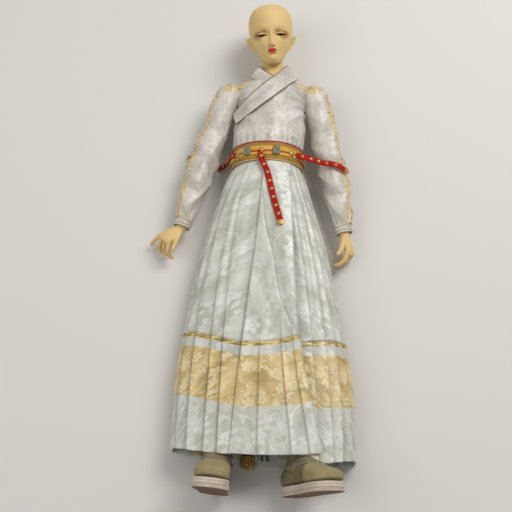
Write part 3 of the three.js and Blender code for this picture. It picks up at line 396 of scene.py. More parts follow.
def shell_mark(values, wrap=False):
    """A point mark for a shell, from a grid of values: the outer and inner grids, then the rims."""
    rims = [values[row] for row in (0, 0, -1, -1)]
    rims += [] if wrap else [values[:, column] for column in (0, 0, -1, -1)]
    return np.concatenate([values.ravel(), values.ravel(), *rims])


CAP_RINGS = 6


def ring_tube(line, radii, across, sides, capped=True):
    """A tube along a line: circles of changing radius on axes across and normal to the line.

    Its ends close in a half sphere: the radius follows a quarter circle past each end.
    """
    line = np.asarray(line, float)
    radii = np.broadcast_to(np.asarray(radii, float), (len(line),))
    along = unit(np.gradient(line, axis=0))
    u = unit(across - np.sum(across * along, axis=1, keepdims=True) * along)
    v = np.cross(along, u)
    if capped:
        quarter = np.linspace(0, math.pi / 2, CAP_RINGS)
        start = line[0] - along[0] * (radii[0] * np.cos(quarter))[:, None]
        end = line[-1] + along[-1] * (radii[-1] * np.sin(quarter))[:, None]
        line = np.concatenate([start, line[1:-1], end])
        radii = np.concatenate([radii[0] * np.sin(quarter), radii[1:-1], radii[-1] * np.cos(quarter)])
        u, v = (
            np.concatenate([np.repeat(way[:1], CAP_RINGS, 0), way[1:-1], np.repeat(way[-1:], CAP_RINGS, 0)])
            for way in (u, v)
        )
    spin = full_turn(sides + 1)
    offset = np.cos(spin)[None, :, None] * u[:, None] + np.sin(spin)[None, :, None] * v[:, None]
    return line[:, None] + radii[:, None, None] * offset


def half_ball(centre, normal, radius, rise, sides):
    """A low dome: rings of radius cos(t) at height rise times sin(t) over a flat foot."""
    normal = unit(normal)
    side = unit(np.cross(normal, [0.3, 1.0, 0.1]))
    other = np.cross(normal, side)
    t = np.linspace(0, math.pi / 2, 4)
    reach = np.concatenate([[0], radius * np.cos(t)])
    height = np.concatenate([[0], rise * np.sin(t)])
    spin = full_turn(sides + 1)
    spoke = np.cos(spin)[:, None] * side + np.sin(spin)[:, None] * other
    return centre + reach[:, None, None] * spoke + height[:, None, None] * normal


def flat_band(line, faces, half, columns):
    """A flat band along a line, square to its faces: its points, their share across, and both its axes."""
    along = unit(np.gradient(line, axis=0))
    across = unit(np.cross(along, faces))
    share = np.linspace(-1, 1, columns)
    return line[:, None] + across[:, None] * (share * half)[None, :, None], share, along, across


def closed(grid):
    """A grid of rings with both its ends drawn to a point."""
    ends = [np.repeat(grid[row].mean(axis=0)[None, None], grid.shape[1], 1) for row in (0, -1)]
    return np.concatenate([ends[0], grid, ends[1]])


def as_grid(item):
    """A grid with its UV: a bare array gets UV from its own lengths."""
    return item if isinstance(item, tuple) else (item, weave_uv(item))


def piece(name, grids, finish, slot, marks=None):
    """One closed mesh object from grids of points, welded where rims, seams and poles meet.

    marks are point attributes, one array for all the grids' points in order.
    """
    grids = [as_grid(item) for item in grids]
    points = np.concatenate([grid.reshape(-1, 3) for grid, _ in grids])
    faces, loops, start = [], [], 0
    for grid, uv in grids:
        rows, columns = grid.shape[:2]
        index = np.arange(rows * columns).reshape(rows, columns)
        corners = [index[:-1, :-1], index[:-1, 1:], index[1:, 1:], index[1:, :-1]]
        quad = np.stack(corners, -1).reshape(-1, 4)
        faces.append(quad + start)
        loops.append(uv.reshape(-1, 2)[quad.ravel()])
        start += rows * columns
    mesh = bpy.data.meshes.new(name)
    mesh.from_pydata(to_scene(points).tolist(), [], np.concatenate(faces).tolist())
    layer = mesh.uv_layers.new(name="UVMap")
    layer.data.foreach_set("uv", np.concatenate(loops).astype(np.float32).ravel())
    for mark, values in (marks or {}).items():
        kind, field = ("FLOAT_COLOR", "color") if values.ndim == 2 else ("FLOAT", "value")
        layer = mesh.attributes.new(mark, kind, "POINT")
        layer.data.foreach_set(field, values.astype(np.float32).ravel())
    weld(mesh)
    return link(name, mesh, finish, slot)


def weld(mesh):
    """Merges points within a hundredth of a millimetre and turns every face outwards."""
    shape = bmesh.new()
    shape.from_mesh(mesh)
    bmesh.ops.remove_doubles(shape, verts=shape.verts, dist=1e-5)
    bmesh.ops.dissolve_degenerate(shape, edges=shape.edges, dist=1e-7)
    bmesh.ops.recalc_face_normals(shape, faces=shape.faces)
    shape.to_mesh(mesh)
    shape.free()


def add_object(name, data):
    """A new object in the scene."""
    obj = bpy.data.objects.new(name, data)
    bpy.context.scene.collection.objects.link(obj)
    return obj


def link(name, mesh, finish, slot):
    """A smooth-shaded object in the scene, with its finish and the record's material slot."""
    mesh.polygons.foreach_set("use_smooth", np.ones(len(mesh.polygons), bool))
    mesh.materials.append(bpy.data.materials[finish + FINISH])
    obj = add_object(name, mesh)
    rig.slot(obj, slot)
    return obj


def crease(obj, degrees):
    """Keeps edges sharper than an angle crisp under smooth shading."""
    obj.data.set_sharp_from_angle(angle=math.radians(degrees))
    return obj


# Settings


def srgb(code):
    """A hex colour as the linear RGB that Blender's colour fields hold."""
    values = [int(code[i : i + 2], 16) / 255 for i in (1, 3, 5)]
    return tuple(v / 12.92 if v <= 0.04045 else ((v + 0.055) / 1.055) ** 2.4 for v in values)


def colour(name, description, code):
    """A colour field with a hex default."""
    return bpy.props.FloatVectorProperty(
        name=name, description=description, subtype="COLOR", size=3, min=0, max=1, default=srgb(code)
    )


def amount(name, description, value, **kind):
    """A number field."""
    return bpy.props.FloatProperty(name=name, description=description, default=value, **kind)


def length(name, description, millimetres):
    """A length field with a default in millimetres."""
    return amount(name, description, millimetres * MM, unit="LENGTH")


def angle(name, description, degrees):
    """An angle field with a default in degrees."""
    return amount(name, description, math.radians(degrees), subtype="ANGLE")


class DollSizes(bpy.types.PropertyGroup):
    """Sizes of the soft and painted parts, which the solids leave open."""

    head_nod: angle("Head nod", "How far the chin leans towards the chest", 26)
    head_tilt: angle("Head tilt", "How far the crown leans to the doll's right", 5)
    eye_opening: length("Eye opening", "Height of the half-closed eyes", 2.8)
    sleeve_fold: length("Sleeve folds", "Depth of the folds along the sleeves", 3.1)
    bodice_fold: length("Bodice folds", "Depth of the folds on the chest", 1.7)
    pleat_depth: length("Pleat depth", "Step of a flat pleat at the hem", 4.6)
    cloth: length("Cloth thickness", "Thickness of the robe and skirt cloth", 0.9)
    piping: length("Piping radius", "Radius of the dark piping on the collars", 0.55)
    boot_fold: length("Boot folds", "Depth of the slouch folds in the boot shafts", 2.0)


class DollColours(bpy.types.PropertyGroup):
    """Colours of the finishes."""

    resin: colour("Resin", "Cast resin of the body", "#dfc186")
    lips: colour("Lips", "Painted lips", "#c4231e")
    shadow: colour("Eye shadow", "Painted lids", "#84401f")
    robe: colour("Robe", "Satin of the bodice and sleeves", "#cbc4ba")
    robe_motif: colour("Robe motif", "Woven motif of the robe", "#dfd9d1")
    piping: colour("Piping", "Piping and trim cord", "#7d663e")
    skirt: colour("Skirt", "Ground of the skirt damask", "#cac9be")
    skirt_motif: colour("Skirt motif", "Glossy motif of the skirt damask", "#e6e5de")
    gold: colour("Gold band", "Ground of the gold brocade", "#d3ba80")
    gold_motif: colour("Gold motif", "Pale motif of the gold brocade", "#e6dab0")
    sash: colour("Sash", "Brown-gold brocade of the sash", "#8a5a22")
    sash_motif: colour("Sash motif", "Bright thread of the sash", "#c9963a")
    belt: colour("Belt", "Yellow-gold belt", "#dcb433")
    red: colour("Red leather", "Straps and piping", "#b3120f")
    metal: colour("Gilt", "Studs, tips and rings", "#d8b264")
    jade: colour("Jade", "Belt plaques", "#84836b")
    suede: colour("Suede", "Boot shafts", "#7a7054")
    toe: colour("Toe leather", "Boot vamps", "#a5976f")
    midsole: colour("Midsole", "Pale rubber midsole", "#cdbfae")
    outsole: colour("Outsole", "Brown rubber outsole", "#6f513b")
    floor: colour("Floor", "Pale floor", "#d9d6d1")


class DollStage(bpy.types.PropertyGroup):
    """The camera and lights."""

    camera_height: length("Camera height", "Height of the camera above the floor", 1267.8)
    view_angle: angle("View angle", "Angle of the square picture", 28)
    key_power: amount("Key light", "Power of the large soft light", 24.0)
    fill_power: amount("Fill light", "Power of the side light", 10.5)
    sky: amount("Sky", "Strength of the even light", 0.36)


def sizes():
    """The sizes in millimetres and the angles in degrees, by name."""
    group = bpy.context.scene.doll_sizes
    found = {}
    for name, prop in group.bl_rna.properties.items():
        if prop.type == "FLOAT":
            value = getattr(group, name)
            found[name] = math.degrees(value) if prop.subtype == "ANGLE" else value / MM
    return found


def paint(name, *shares):
    """A colour setting with full alpha: all of it times one share, or red, green and blue each times one."""
    shares = shares if len(shares) == 3 else (shares or (1,)) * 3
    base = getattr(bpy.context.scene.doll_colours, name)
    return (*[value * share for value, share in zip(base, shares)], 1.0)


# Finishes


# The CAD slots have materials of their own, so the finishes are named apart from them
FINISH = "_finish"
# A blossom has twice as many petals
HALF_PETALS = 2.5
# Roughness of a cloth's ground and of its motif
ROBE_ROUGH, SKIRT_ROUGH = (0.44, 0.34), (0.42, 0.3)
BROW_BROWN, LASH_BROWN, SEAM_BROWN = (0.16, 0.08, 0.04, 1), (0.03, 0.012, 0.007, 1), (0.2, 0.13, 0.07, 1)
IRIS_DARK, IRIS_BRIGHT = (0.02, 0.012, 0.008, 1), (0.09, 0.045, 0.022, 1)
EYE_WHITE, PUPIL_BLACK = (0.3, 0.2, 0.13, 1), (0.004, 0.004, 0.004, 1)
STEEL_DARK, STEEL_BRIGHT = (0.32, 0.32, 0.31, 1), (0.5, 0.5, 0.48, 1)
# The skirt's gold line, darker and brighter in patches and with painted shade in a fold,
# and the painted glints on its gold band
THREAD_DARK, THREAD_BRIGHT = (0.26, 0.17, 0.03, 1), (0.76, 0.6, 0.24, 1)
THREAD_PAINTED_SHADE, SPARK = (0.14, 0.09, 0.015, 1), (0.9, 0.82, 0.52, 1)


class Finish:
    """A node material, with short calls for the nodes that the doll's finishes share.

    place is the object's coordinates, and uv the piece's UV in decimetres of cloth.
    """

    def __init__(self, name, **sockets):
        self.material = bpy.data.materials.new(name + FINISH)
        self.material.use_nodes = True
        self.tree = self.material.node_tree
        self.shader = self.tree.nodes["Principled BSDF"]
        for socket, value in sockets.items():
            self.shader.inputs[socket.replace("_", " ")].default_value = value
        coordinates = self.node("TexCoord").outputs
        self.place, self.uv = coordinates["Object"], coordinates["UV"]

    def node(self, kind, settings=None, **inputs):
        """A shader node with its settings and its inputs, each a value or another node's output."""
        node = self.tree.nodes.new("ShaderNode" + kind)
        for name, value in (settings or {}).items():
            setattr(node, name, value)
        for name, value in inputs.items():
            self.put(node.inputs[int(name[1:]) if name[0] == "_" else name], value)
        return node

    def put(self, socket, value):
        """Links an output to a socket, or sets the socket's value."""
        if isinstance(value, bpy.types.NodeSocket):
            self.tree.links.new(value, socket)
        else:
            socket.default_value = value

    def math(self, operation, a, b=0.0, c=0.0):
        """A Math node's result."""
        return self.node("Math", {"operation": operation}, _0=a, _1=b, _2=c).outputs[0]

    def times(self, a, b):
        """The product of two values."""
        return self.math("MULTIPLY", a, b)

    def scaled(self, value, by, plus):
        """A value times another, plus a third."""
        return self.math("MULTIPLY_ADD", value, by, plus)

    def wave(self, value, turns):
        """The sine of a value times a number of turns."""
        return self.math("SINE", self.times(value, turns))

    def apart(self, a, b):
        """The distance between two values."""
        return self.math("ABSOLUTE", self.math("SUBTRACT", a, b))

    def span(self, value, low, high):
        """0 at low and 1 at high, smooth between; falls where low is above high."""
        return self.node(
            "MapRange", {"interpolation_type": "SMOOTHSTEP"}, Value=value, _1=low, _2=high
        ).outputs[0]

    def mix(self, share, a, b):
        """Two colours mixed by a share."""
        return self.node("Mix", {"data_type": "RGBA"}, _0=share, _6=a, _7=b).outputs[2]

    def noise(self, vector, scale, detail, rough=0.55):
        """A noise texture's value."""
        return self.node(
            "TexNoise", None, Vector=vector, Scale=scale, Detail=detail, Roughness=rough
        ).outputs[0]

    def split(self, vector):
        """X and Y of a vector."""
        parts = self.node("SeparateXYZ", None, Vector=vector)
        return parts.outputs[0], parts.outputs[1]

    def stretched(self, x, y):
        """The piece's UV with a scale each way."""
        product = {"operation": "MULTIPLY"}
        return self.node("VectorMath", product, _0=self.uv, _1=(x, y, 0.0)).outputs[0]

    def mark(self, name):
        """A point attribute."""
        return self.node("Attribute", {"attribute_name": name})

    def level(self, name):
        """A point attribute's single value."""
        return self.mark(name).outputs["Fac"]

    def relief(self, height, distance, strength=1.0, over=None):
        """Bump from a height, over an earlier bump if there is one, onto the shader."""
        bump = self.node("Bump", None, Height=height, Distance=distance, Strength=strength)
        if over:
            self.put(bump.inputs["Normal"], over)
        self.put(self.shader.inputs["Normal"], bump.outputs[0])
        return bump.outputs[0]

    def base(self):
        """The output that colours the shader so far."""
        return self.shader.inputs["Base Color"].links[0].from_socket

    def recolour(self, colour):
        """The shader's colour."""
        self.put(self.shader.inputs["Base Color"], colour)

    def coat(self, colour, roughness):
        """The shader's colour and roughness."""
        self.recolour(colour)
        self.put(self.shader.inputs["Roughness"], roughness)

    def threads(self, pitch):
        """A plain weave: the product of two thread waves, pitch decimetres apart."""
        u, v = self.split(self.uv)
        turns = 2 * math.pi / pitch
        return self.times(self.wave(u, turns), self.wave(v, turns))

    def cell(self, scale, loose):
        """Offset from the middle of the nearest cell, with a value that differs from cell to cell."""
        flat = {"voronoi_dimensions": "2D", "feature": "F1"}
        cells = self.node("TexVoronoi", flat, Vector=self.uv, Scale=scale, Randomness=loose)
        middle = cells.outputs["Position"]
        away = self.node("VectorMath", {"operation": "SUBTRACT"}, _0=self.uv, _1=middle)
        tint = self.node("SeparateColor", None, Color=cells.outputs["Color"])
        return away.outputs[0], tint.outputs[0]

    def blossoms(self, scale, size):
        """Open flowers, one to a cell: a petalled edge round a ring and an eye."""
        away, chance = self.cell(scale, 0.6)
        x, y = self.split(away)
        radius = self.math("SQRT", self.math("ADD", self.math("POWER", x, 2), self.math("POWER", y, 2)))
        swing = self.math("ADD", self.times(self.math("ARCTAN2", y, x), HALF_PETALS), chance)
        lobe = self.scaled(self.math("ABSOLUTE", self.math("COSINE", swing)), size * 0.5, size * 0.5)
        flower = self.span(self.math("SUBTRACT", lobe, radius), 0.0, size * 0.12)
        ring = self.span(self.apart(radius, size * 0.3), 0.0, size * 0.1)
        return self.times(flower, ring)

    def leaves(self, scale, size):
        """Pointed leaves, one to a cell and turned each its own way, with a bare midrib."""
        away, chance = self.cell(scale, 0.9)
        lean = self.times(chance, 2 * math.pi)
        spin = self.node("VectorRotate", {"rotation_type": "Z_AXIS"}, Vector=away, Angle=lean)
        x, y = self.split(spin.outputs[0])
        taper = self.math("SUBTRACT", 1.0, self.math("POWER", self.math("DIVIDE", x, size), 2))
        half = self.times(taper, size * 0.38)
        side = self.math("ABSOLUTE", y)
        blade = self.span(self.math("SUBTRACT", half, side), 0.0, size * 0.08)
        return self.times(blade, self.span(side, size * 0.02, size * 0.07))

    def foliage(self, scale, size):
        """The woven motif: flowers with leaves and stems between them."""
        flowers = self.blossoms(scale, size)
        small = self.leaves(scale * 1.9, size * 0.62)
        drift = self.noise(self.uv, scale * 0.8, 1.0)
        stems = self.span(self.apart(drift, 0.5), 0.02, 0.008)
        return self.math("MAXIMUM", self.math("MAXIMUM", flowers, small), stems)


def resin_finish(name):
    """Cast resin: warm and faintly mottled, matt-sealed, with a little light passing through it."""
    f = Finish(name, Subsurface_Weight=0.04, Subsurface_Scale=0.004, Specular_IOR_Level=0.25)
    f.shader.inputs["Subsurface Radius"].default_value = (1.0, 0.75, 0.5)
    broad = f.noise(f.place, 28.0, 3.0)
    tone = f.mix(f.span(broad, 0.3, 0.7), paint("resin", 0.93, 0.9, 0.84), paint("resin"))
    speck = f.noise(f.place, 900.0, 2.0)
    return f, tone, speck


def body_finish(name):
    """Bare resin, as cast."""
    f, tone, speck = resin_finish(name)
    f.coat(tone, f.scaled(speck, 0.16, 0.56))
    f.relief(speck, 0.0001, 0.25)


def face_finish(name):
    """Resin with painted brows, lids, lips and lashes, and the fine seam of the head cap."""
    f, tone, speck = resin_finish(name)
    marks = f.mark("face_paint")
    lip, shadow, liner = f.node("SeparateColor", None, Color=marks.outputs["Color"]).outputs
    tone = f.mix(f.times(marks.outputs["Alpha"], 0.4), tone, BROW_BROWN)
    tone = f.mix(f.times(shadow, 0.8), tone, paint("shadow"))
    tone = f.mix(f.times(lip, 0.88), tone, paint("lips"))
    tone = f.mix(liner, tone, LASH_BROWN)
    seam = f.span(f.math("ABSOLUTE", f.level("cap_seam")), 0.55, 0.15)
    tone = f.mix(f.times(seam, 0.35), tone, SEAM_BROWN)
    matt = f.scaled(speck, 0.16, 0.5)
    f.coat(tone, f.math("SUBTRACT", matt, f.times(lip, 0.12)))
    f.relief(f.math("SUBTRACT", f.times(speck, 0.15), seam), 0.0004, 0.6)


def eye_finish(name):
    """A glass eye by the angle from its middle: black pupil, streaked brown iris and dim white."""
    f = Finish(name, Specular_IOR_Level=0.08)
    rim = f.level("polar")
    iris = f.mix(f.noise(f.uv, 60.0, 2.0), IRIS_DARK, IRIS_BRIGHT)
    white = f.mix(f.span(rim, 0.8, 0.9), iris, EYE_WHITE)
    f.coat(f.mix(f.span(rim, 0.3, 0.26), white, PUPIL_BLACK), 0.3)


def hook_finish(name):
    """Brushed steel wire."""
    f = Finish(name, Metallic=1.0)
    brushed = f.noise(f.place, 1400.0, 4.0)
    f.coat(f.mix(brushed, STEEL_DARK, STEEL_BRIGHT), f.scaled(brushed, 0.3, 0.25))
    f.relief(brushed, 0.00005)


def make_finishes():
    """All the doll's finishes."""
    body_finish("resin")
    face_finish("painted_resin")
    eye_finish("eye_glass")
    hook_finish("hook_steel")
    skirt_finish("skirt_damask")
    sleeve_finish("robe_satin")
    cloth_finish("collar_silk", "robe", "robe_motif", scale=4.2, size=0.1, rough=ROBE_ROUGH)
    sash_finish("sash_brocade")
    belt_finish("belt_brocade")
    cord_finish("dark_piping", "piping")
    cord_finish("red_piping", "red")
    cord_finish("gold_cord", "metal")
    leather_finish("red_leather", "red", 420.0, 0.6)
    vamp_finish("toe_leather")
    suede_finish("suede")
    metal_finish("gilt")
    jade_finish("jade")
    rubber_finish("midsole_rubber", "midsole")
    outsole_finish("outsole_rubber")
    tail_finish("tail_brocade")


def cloth_finish(name, ground, motif, scale, size, rough):
    """Silvery satin jacquard: a woven motif in the ground, stronger and fainter in patches of painted sheen.

    The cloth is crumpled lengthways, with painted light on the crumples and painted shade between them; its threads
    stand up a little, and painted shade darkens its pressed folds.
    """
    f = Finish(name, Sheen_Weight=0.08, Sheen_Roughness=0.4, Specular_IOR_Level=0.6)
    woven = f.foliage(scale, size)
    # Painted sheen: patches where the woven motif shows stronger, as if its gloss caught the light
    painted_sheen = f.span(f.noise(f.uv, 2.6, 2.0), 0.38, 0.66)
    shown = f.times(woven, f.scaled(painted_sheen, 0.6, 0.12))
    crumple = f.noise(f.stretched(6.0, 2.4), 1.0, 3.0, 0.6)
    # Painted light and shade: the ground is paler where the crumples rise and darker in their hollows
    base = f.mix(f.span(crumple, 0.32, 0.68), paint(ground, 0.74, 0.75, 0.73), paint(ground, 1.06))
    tone = f.mix(shown, base, paint(motif))
    # Painted shade in the folds: the crease mark darkens the cloth where one pleat goes under the next
    fold = f.times(f.level("crease"), 0.6)
    dull, bright = rough
    f.coat(f.mix(fold, tone, paint(ground, 0.42, 0.43, 0.4)), f.scaled(woven, bright - dull, dull))
    thread = f.threads(0.007)
    soft = f.relief(crumple, 0.0022, 0.7)
    f.relief(f.scaled(thread, 0.3, woven), 0.00012, 0.5, soft)
    return f


def skirt_finish(name):
    """The skirt's damask, with a gold line and a band of gold brocade by their fall below the seam."""
    f = cloth_finish(name, "skirt", "skirt_motif", scale=3.2, size=0.12, rough=SKIRT_ROUGH)
    pale = f.base()
    fall = f.level("fall")
    fold = f.level("crease")
    rich = f.math("MAXIMUM", f.blossoms(5.2, 0.075), f.leaves(7.6, 0.07))
    glint = f.times(rich, f.span(f.noise(f.uv, 4.0, 2.0), 0.3, 0.6))
    drift = f.span(f.noise(f.uv, 4.5, 4.0), 0.3, 0.7)
    shot = f.mix(drift, paint("gold", 0.66, 0.6, 0.48), paint("gold", 1.12, 1.13, 1.16))
    gold = f.mix(f.times(glint, 0.8), shot, paint("gold_motif"))
    flat = {"voronoi_dimensions": "2D"}
    # Painted glints: small bright spots, in patches, over the gold band
    sparks = f.node("TexVoronoi", flat, Vector=f.uv, Scale=38.0).outputs["Distance"]
    lit = f.times(f.span(sparks, 0.26, 0.16), f.span(f.noise(f.uv, 3.4, 1.0), 0.56, 0.64))
    gold = f.mix(lit, gold, SPARK)
    # Painted shade: the gold band darkens where the crease mark marks a fold
    gold = f.mix(f.times(fold, 0.75), gold, paint("gold", 0.42, 0.36, 0.22))
    band = f.times(f.span(fall, 18.5, 19.1), f.span(fall, BAND_END + 0.6, BAND_END))
    line = f.times(f.span(fall, -0.2, 0.2), f.span(fall, 6.6, 6.2))
    # Darker and brighter patches along the gold line's thread
    worn = f.span(f.noise(f.stretched(7.0, 40.0), 1.0, 2.0), 0.38, 0.62)
    metal = f.mix(worn, THREAD_DARK, THREAD_BRIGHT)
    # Painted shade on the gold line where the crease mark marks a fold
    metal = f.mix(f.times(fold, 0.8), metal, THREAD_PAINTED_SHADE)
    f.recolour(f.mix(line, f.mix(band, pale, gold), metal))


def sleeve_finish(name):
    """Robe satin with gold braid: where the mark trim is near nought, and where patch is above nought."""
    f = cloth_finish(name, "robe", "robe_motif", scale=3.4, size=0.105, rough=ROBE_ROUGH)
    base = f.base()
    away = f.math("ABSOLUTE", f.level("trim"))
    scallop = f.scaled(f.wave(f.split(f.uv)[1], 60.0), 1.3, away)
    edge = f.times(f.span(scallop, 6.4, 5.6), f.span(away, -0.2, 0.02))
    inside = f.scaled(f.noise(f.uv, 30.0, 1.0), 3.0, f.math("SUBTRACT", f.level("patch"), 1.5))
    band = f.math("MAXIMUM", edge, f.span(inside, 0.2, 0.9))
    curl = f.wave(f.noise(f.uv, 17.0, 2.0), 30.0)
    braid = f.mix(f.span(curl, -0.4, 0.6), paint("sash"), paint("gold_motif"))
    braid = f.mix(f.span(f.noise(f.uv, 9.0, 2.0), 0.35, 0.65), paint("gold"), braid)
    f.recolour(f.mix(f.times(band, 0.9), base, braid))


def tail_finish(name):
    """Ribbon brocade: rows of looped thread with small flowers."""
    f = Finish(name, Metallic=0.25, Sheen_Weight=0.2)
    u, v = f.split(f.uv)
    loop = f.math("SINE", f.scaled(f.wave(u, 190.0), 1.2, f.times(v, 260.0)))
    flower = f.blossoms(9.0, 0.05)
    lit = f.math("MAXIMUM", f.span(loop, 0.1, 0.8), flower)
    f.coat(f.mix(lit, paint("sash"), paint("sash_motif")), f.scaled(lit, -0.15, 0.5))
    f.relief(lit, 0.0004, 0.8)


def sash_finish(name):
    """Sash brocade by its height: a bright yellow zone between brown-gold borders ribbed lengthways."""
    f = Finish(name, Metallic=0.15, Sheen_Weight=0.15)
    rise = f.level("rise")
    bright = f.span(f.wave(f.noise(f.uv, 24.0, 2.0), 34.0), 0.1, 0.6)
    rib = f.wave(rise, 2.9)
    rope = f.mix(f.span(rib, -0.5, 0.8), paint("sash"), paint("sash_motif"))
    border = f.mix(f.times(bright, 0.35), rope, paint("sash"))
    yellow = f.mix(f.times(bright, 0.4), paint("belt"), paint("sash_motif"))
    zone = f.span(f.apart(rise, 0.6), 7.6, 7.2)
    f.coat(f.mix(zone, border, yellow), f.scaled(bright, -0.15, 0.52))
    f.relief(f.scaled(rib, 0.5, bright), 0.0004, 0.7)


def belt_finish(name):
    """Yellow-gold belt: a red line between twilled gold threads."""
    f = Finish(name, Metallic=0.15, Sheen_Weight=0.15)
    rise = f.level("rise")
    twill = f.wave(f.math("ADD", *f.split(f.uv)), 560.0)
    gold = f.mix(f.span(twill, -0.7, 0.7), paint("sash_motif"), paint("belt"))
    red = f.span(f.apart(rise, -0.4), 1.5, 1.1)
    f.coat(f.mix(red, gold, paint("red")), 0.42)
    f.relief(f.scaled(twill, 0.4, red), 0.0003, 0.6)


def cord_finish(name, tone):
    """Twisted cord along its length: painted light on its turns and painted shade between them."""
    f = Finish(name, Sheen_Weight=0.3)
    twist = f.wave(f.math("ADD", *f.split(f.uv)), 420.0)
    # Painted light and shade: paler where the twist stands up, darker where it sinks
    f.coat(f.mix(f.span(twist, -1, 1), paint(tone, 0.6), paint(tone, 1.15)), 0.6)
    f.relief(twist, 0.0002, 0.7)


def leather_finish(name, tone, grain, rough):
    """Leather: a cracked grain, worn paler where the grain stands up."""
    f = Finish(name, Specular_IOR_Level=0.15)
    cells = f.node("TexVoronoi", {"feature": "DISTANCE_TO_EDGE"}, Vector=f.place, Scale=grain)
    pore = f.span(cells.outputs[0], 0.0, 0.18)
    wear = f.noise(f.place, 60.0, 4.0)
    worn = f.mix(f.span(wear, 0.45, 0.75), paint(tone), paint(tone, 1.25, 1.22, 1.2))
    f.coat(f.mix(pore, paint(tone, 0.65), worn), f.scaled(wear, 0.25, rough - 0.1))
    f.relief(pore, 0.0002, 0.6)
    return f


def vamp_finish(name):
    """Boot upper by its place along the foot: suede behind the toe cap's seam, paler leather in front."""
    f = leather_finish(name, "toe", 1100.0, 0.66)
    leather = f.base()
    along = f.level("along")
    nap = f.span(f.noise(f.place, 70.0, 5.0, 0.65), 0.3, 0.7)
    suede = f.mix(nap, paint("suede", 0.8, 0.8, 0.78), paint("suede", 1.2, 1.2, 1.18))
    stitch = f.span(f.apart(along, 0.605), 0.008, 0.004)
    tone = f.mix(f.span(along, 0.598, 0.604), suede, leather)
    f.recolour(f.mix(f.times(stitch, 0.6), tone, paint("suede", 0.4)))


def outsole_finish(name):
    """The outsole: its wall as pale as the midsole, and brown tread rubber underneath."""
    f = rubber_finish(name, "outsole")
    brown = f.base()
    dust = f.span(f.noise(f.place, 60.0, 4.0), 0.35, 0.7)
    wall = f.mix(dust, paint("midsole", 0.8, 0.78, 0.74), paint("midsole"))
    f.recolour(f.mix(f.level("under"), wall, brown))


def suede_finish(name):
    """Suede: a brushed nap in patches of lighter and darker pile."""
    f = Finish(name, Sheen_Weight=0.12, Sheen_Roughness=0.6)
    nap = f.noise(f.place, 70.0, 5.0, 0.65)
    pile = f.noise(f.place, 1500.0, 2.0)
    brushed = f.span(nap, 0.3, 0.7)
    f.coat(f.mix(brushed, paint("suede", 0.72, 0.72, 0.7), paint("suede", 1.2, 1.2, 1.18)), 0.92)
    f.relief(f.scaled(pile, 0.5, nap), 0.0004, 0.6)


def metal_finish(name):
    """Worn gilt: bright on the rubbed heights and brown in the hollows."""
    f = Finish(name, Metallic=0.6)
    wear = f.noise(f.place, 420.0, 4.0)
    tone = f.mix(f.span(wear, 0.35, 0.65), paint("metal", 0.45, 0.4, 0.35), paint("metal"))
    f.coat(tone, f.scaled(wear, 0.3, 0.22))
    f.relief(wear, 0.0002, 0.5)


def jade_finish(name):
    """Jade: cloudy green-grey stone with a soft polish."""
    f = Finish(name, Specular_IOR_Level=0.3)
    cloud = f.noise(f.place, 260.0, 5.0)
    f.coat(f.mix(f.span(cloud, 0.3, 0.7), paint("jade", 0.6, 0.62, 0.58), paint("jade", 1.15)), 0.6)
    f.relief(cloud, 0.0001, 0.4)


def rubber_finish(name, tone):
    """Moulded rubber: fine stipple, scuffed in patches."""
    f = Finish(name, Specular_IOR_Level=0.35)
    scuff = f.span(f.noise(f.place, 45.0, 5.0, 0.7), 0.4, 0.72)
    stipple = f.noise(f.place, 1100.0, 2.0)
    f.coat(f.mix(scuff, paint(tone), paint(tone, 0.72, 0.7, 0.66)), f.scaled(stipple, 0.2, 0.6))
    f.relief(stipple, 0.00015, 0.6)
    return f


# Head

HEAD_BASE, HEAD_TOP = -1.0, 82.0
HEAD_HALF, FACE_REACH, NAPE_REACH = 30.5, 36.08, 45.92
EYE_X, EYE_Y, EYE_Z, EYE_RADIUS, EYE_HALF = 13.0, 37.0, 23.64, 8.0, 6.8
LID_LINE, LIP_LINE = 36.0, 15.0
# Shares of the eyes' opening above and below the lid line, thickness of the lids, and degrees of the gaze
UPPER_LID, LOWER_LID, LID_SKIN, GAZE_DROP = 0.42, 0.58, 0.8, 10
EAR_RISE, EAR_DEEP, EAR_TALL = 28.0, 6.4, 10.6
# The head cap's plane: degrees of lean, distance back and height
CAP_LEAN, CAP_BACK, CAP_RISE = 14, 12.86, 41
# Share of the head's rise where its dome starts
CROWN_START = 0.6
# Height on the face, then how far the nose stands out and how wide it is
NOSE_LINE = (
    (17, 0), (19.4, 0.4), (20.6, 2.6), (21.8, 5.8), (23.5, 7.6), (26, 6.6), (30, 4.4), (35, 2.5), (40, 1.2),
    (46, 0),
)
NOSE_WIDTH = ((17, 3.4), (22, 3.0), (27, 2.6), (34, 2.9), (40, 4.0), (46, 6.0))
# Rise above the chin as a share of the head, then shares of half width, face reach and nape reach
JAW = np.array([
    (0.0, 0.3, 0.87, -0.38), (0.05, 0.44, 0.92, -0.08), (0.11, 0.56, 0.95, 0.28), (0.2, 0.69, 0.98, 0.6),
    (0.31, 0.83, 0.99, 0.83), (0.45, 0.945, 0.98, 0.96), (0.6, 1.0, 1.0, 1.0), (0.7, 0.985, 0.965, 0.985),
])


def head_frame():
    """The head's frame at the neck ball, nodded forward and tilted."""
    size = sizes()
    return Frame(joint_centre("head_nod"), [1, 0, 0], [0, 1, 0]).turned(
        turn(size["head_nod"], "X") @ turn(size["head_tilt"], "Z")
    )


def head_section(rise):
    """Half width, face reach and nape reach: stations on the jaw, and a dome (1 - q^a)^b over the crown."""
    low = [profile(rise, JAW[:, [0, i]]) for i in (1, 2, 3)]
    q = np.clip((rise - CROWN_START) / (1 - CROWN_START), 0, 1)
    dome = [(1 - q**a) ** b for a, b in ((2.9, 0.43), (2.3, 0.48), (2.6, 0.46))]
    wide, face, nape = [np.where(rise > CROWN_START, top, bottom) for top, bottom in zip(dome, low)]
    return wide * HEAD_HALF, face * FACE_REACH, nape * NAPE_REACH


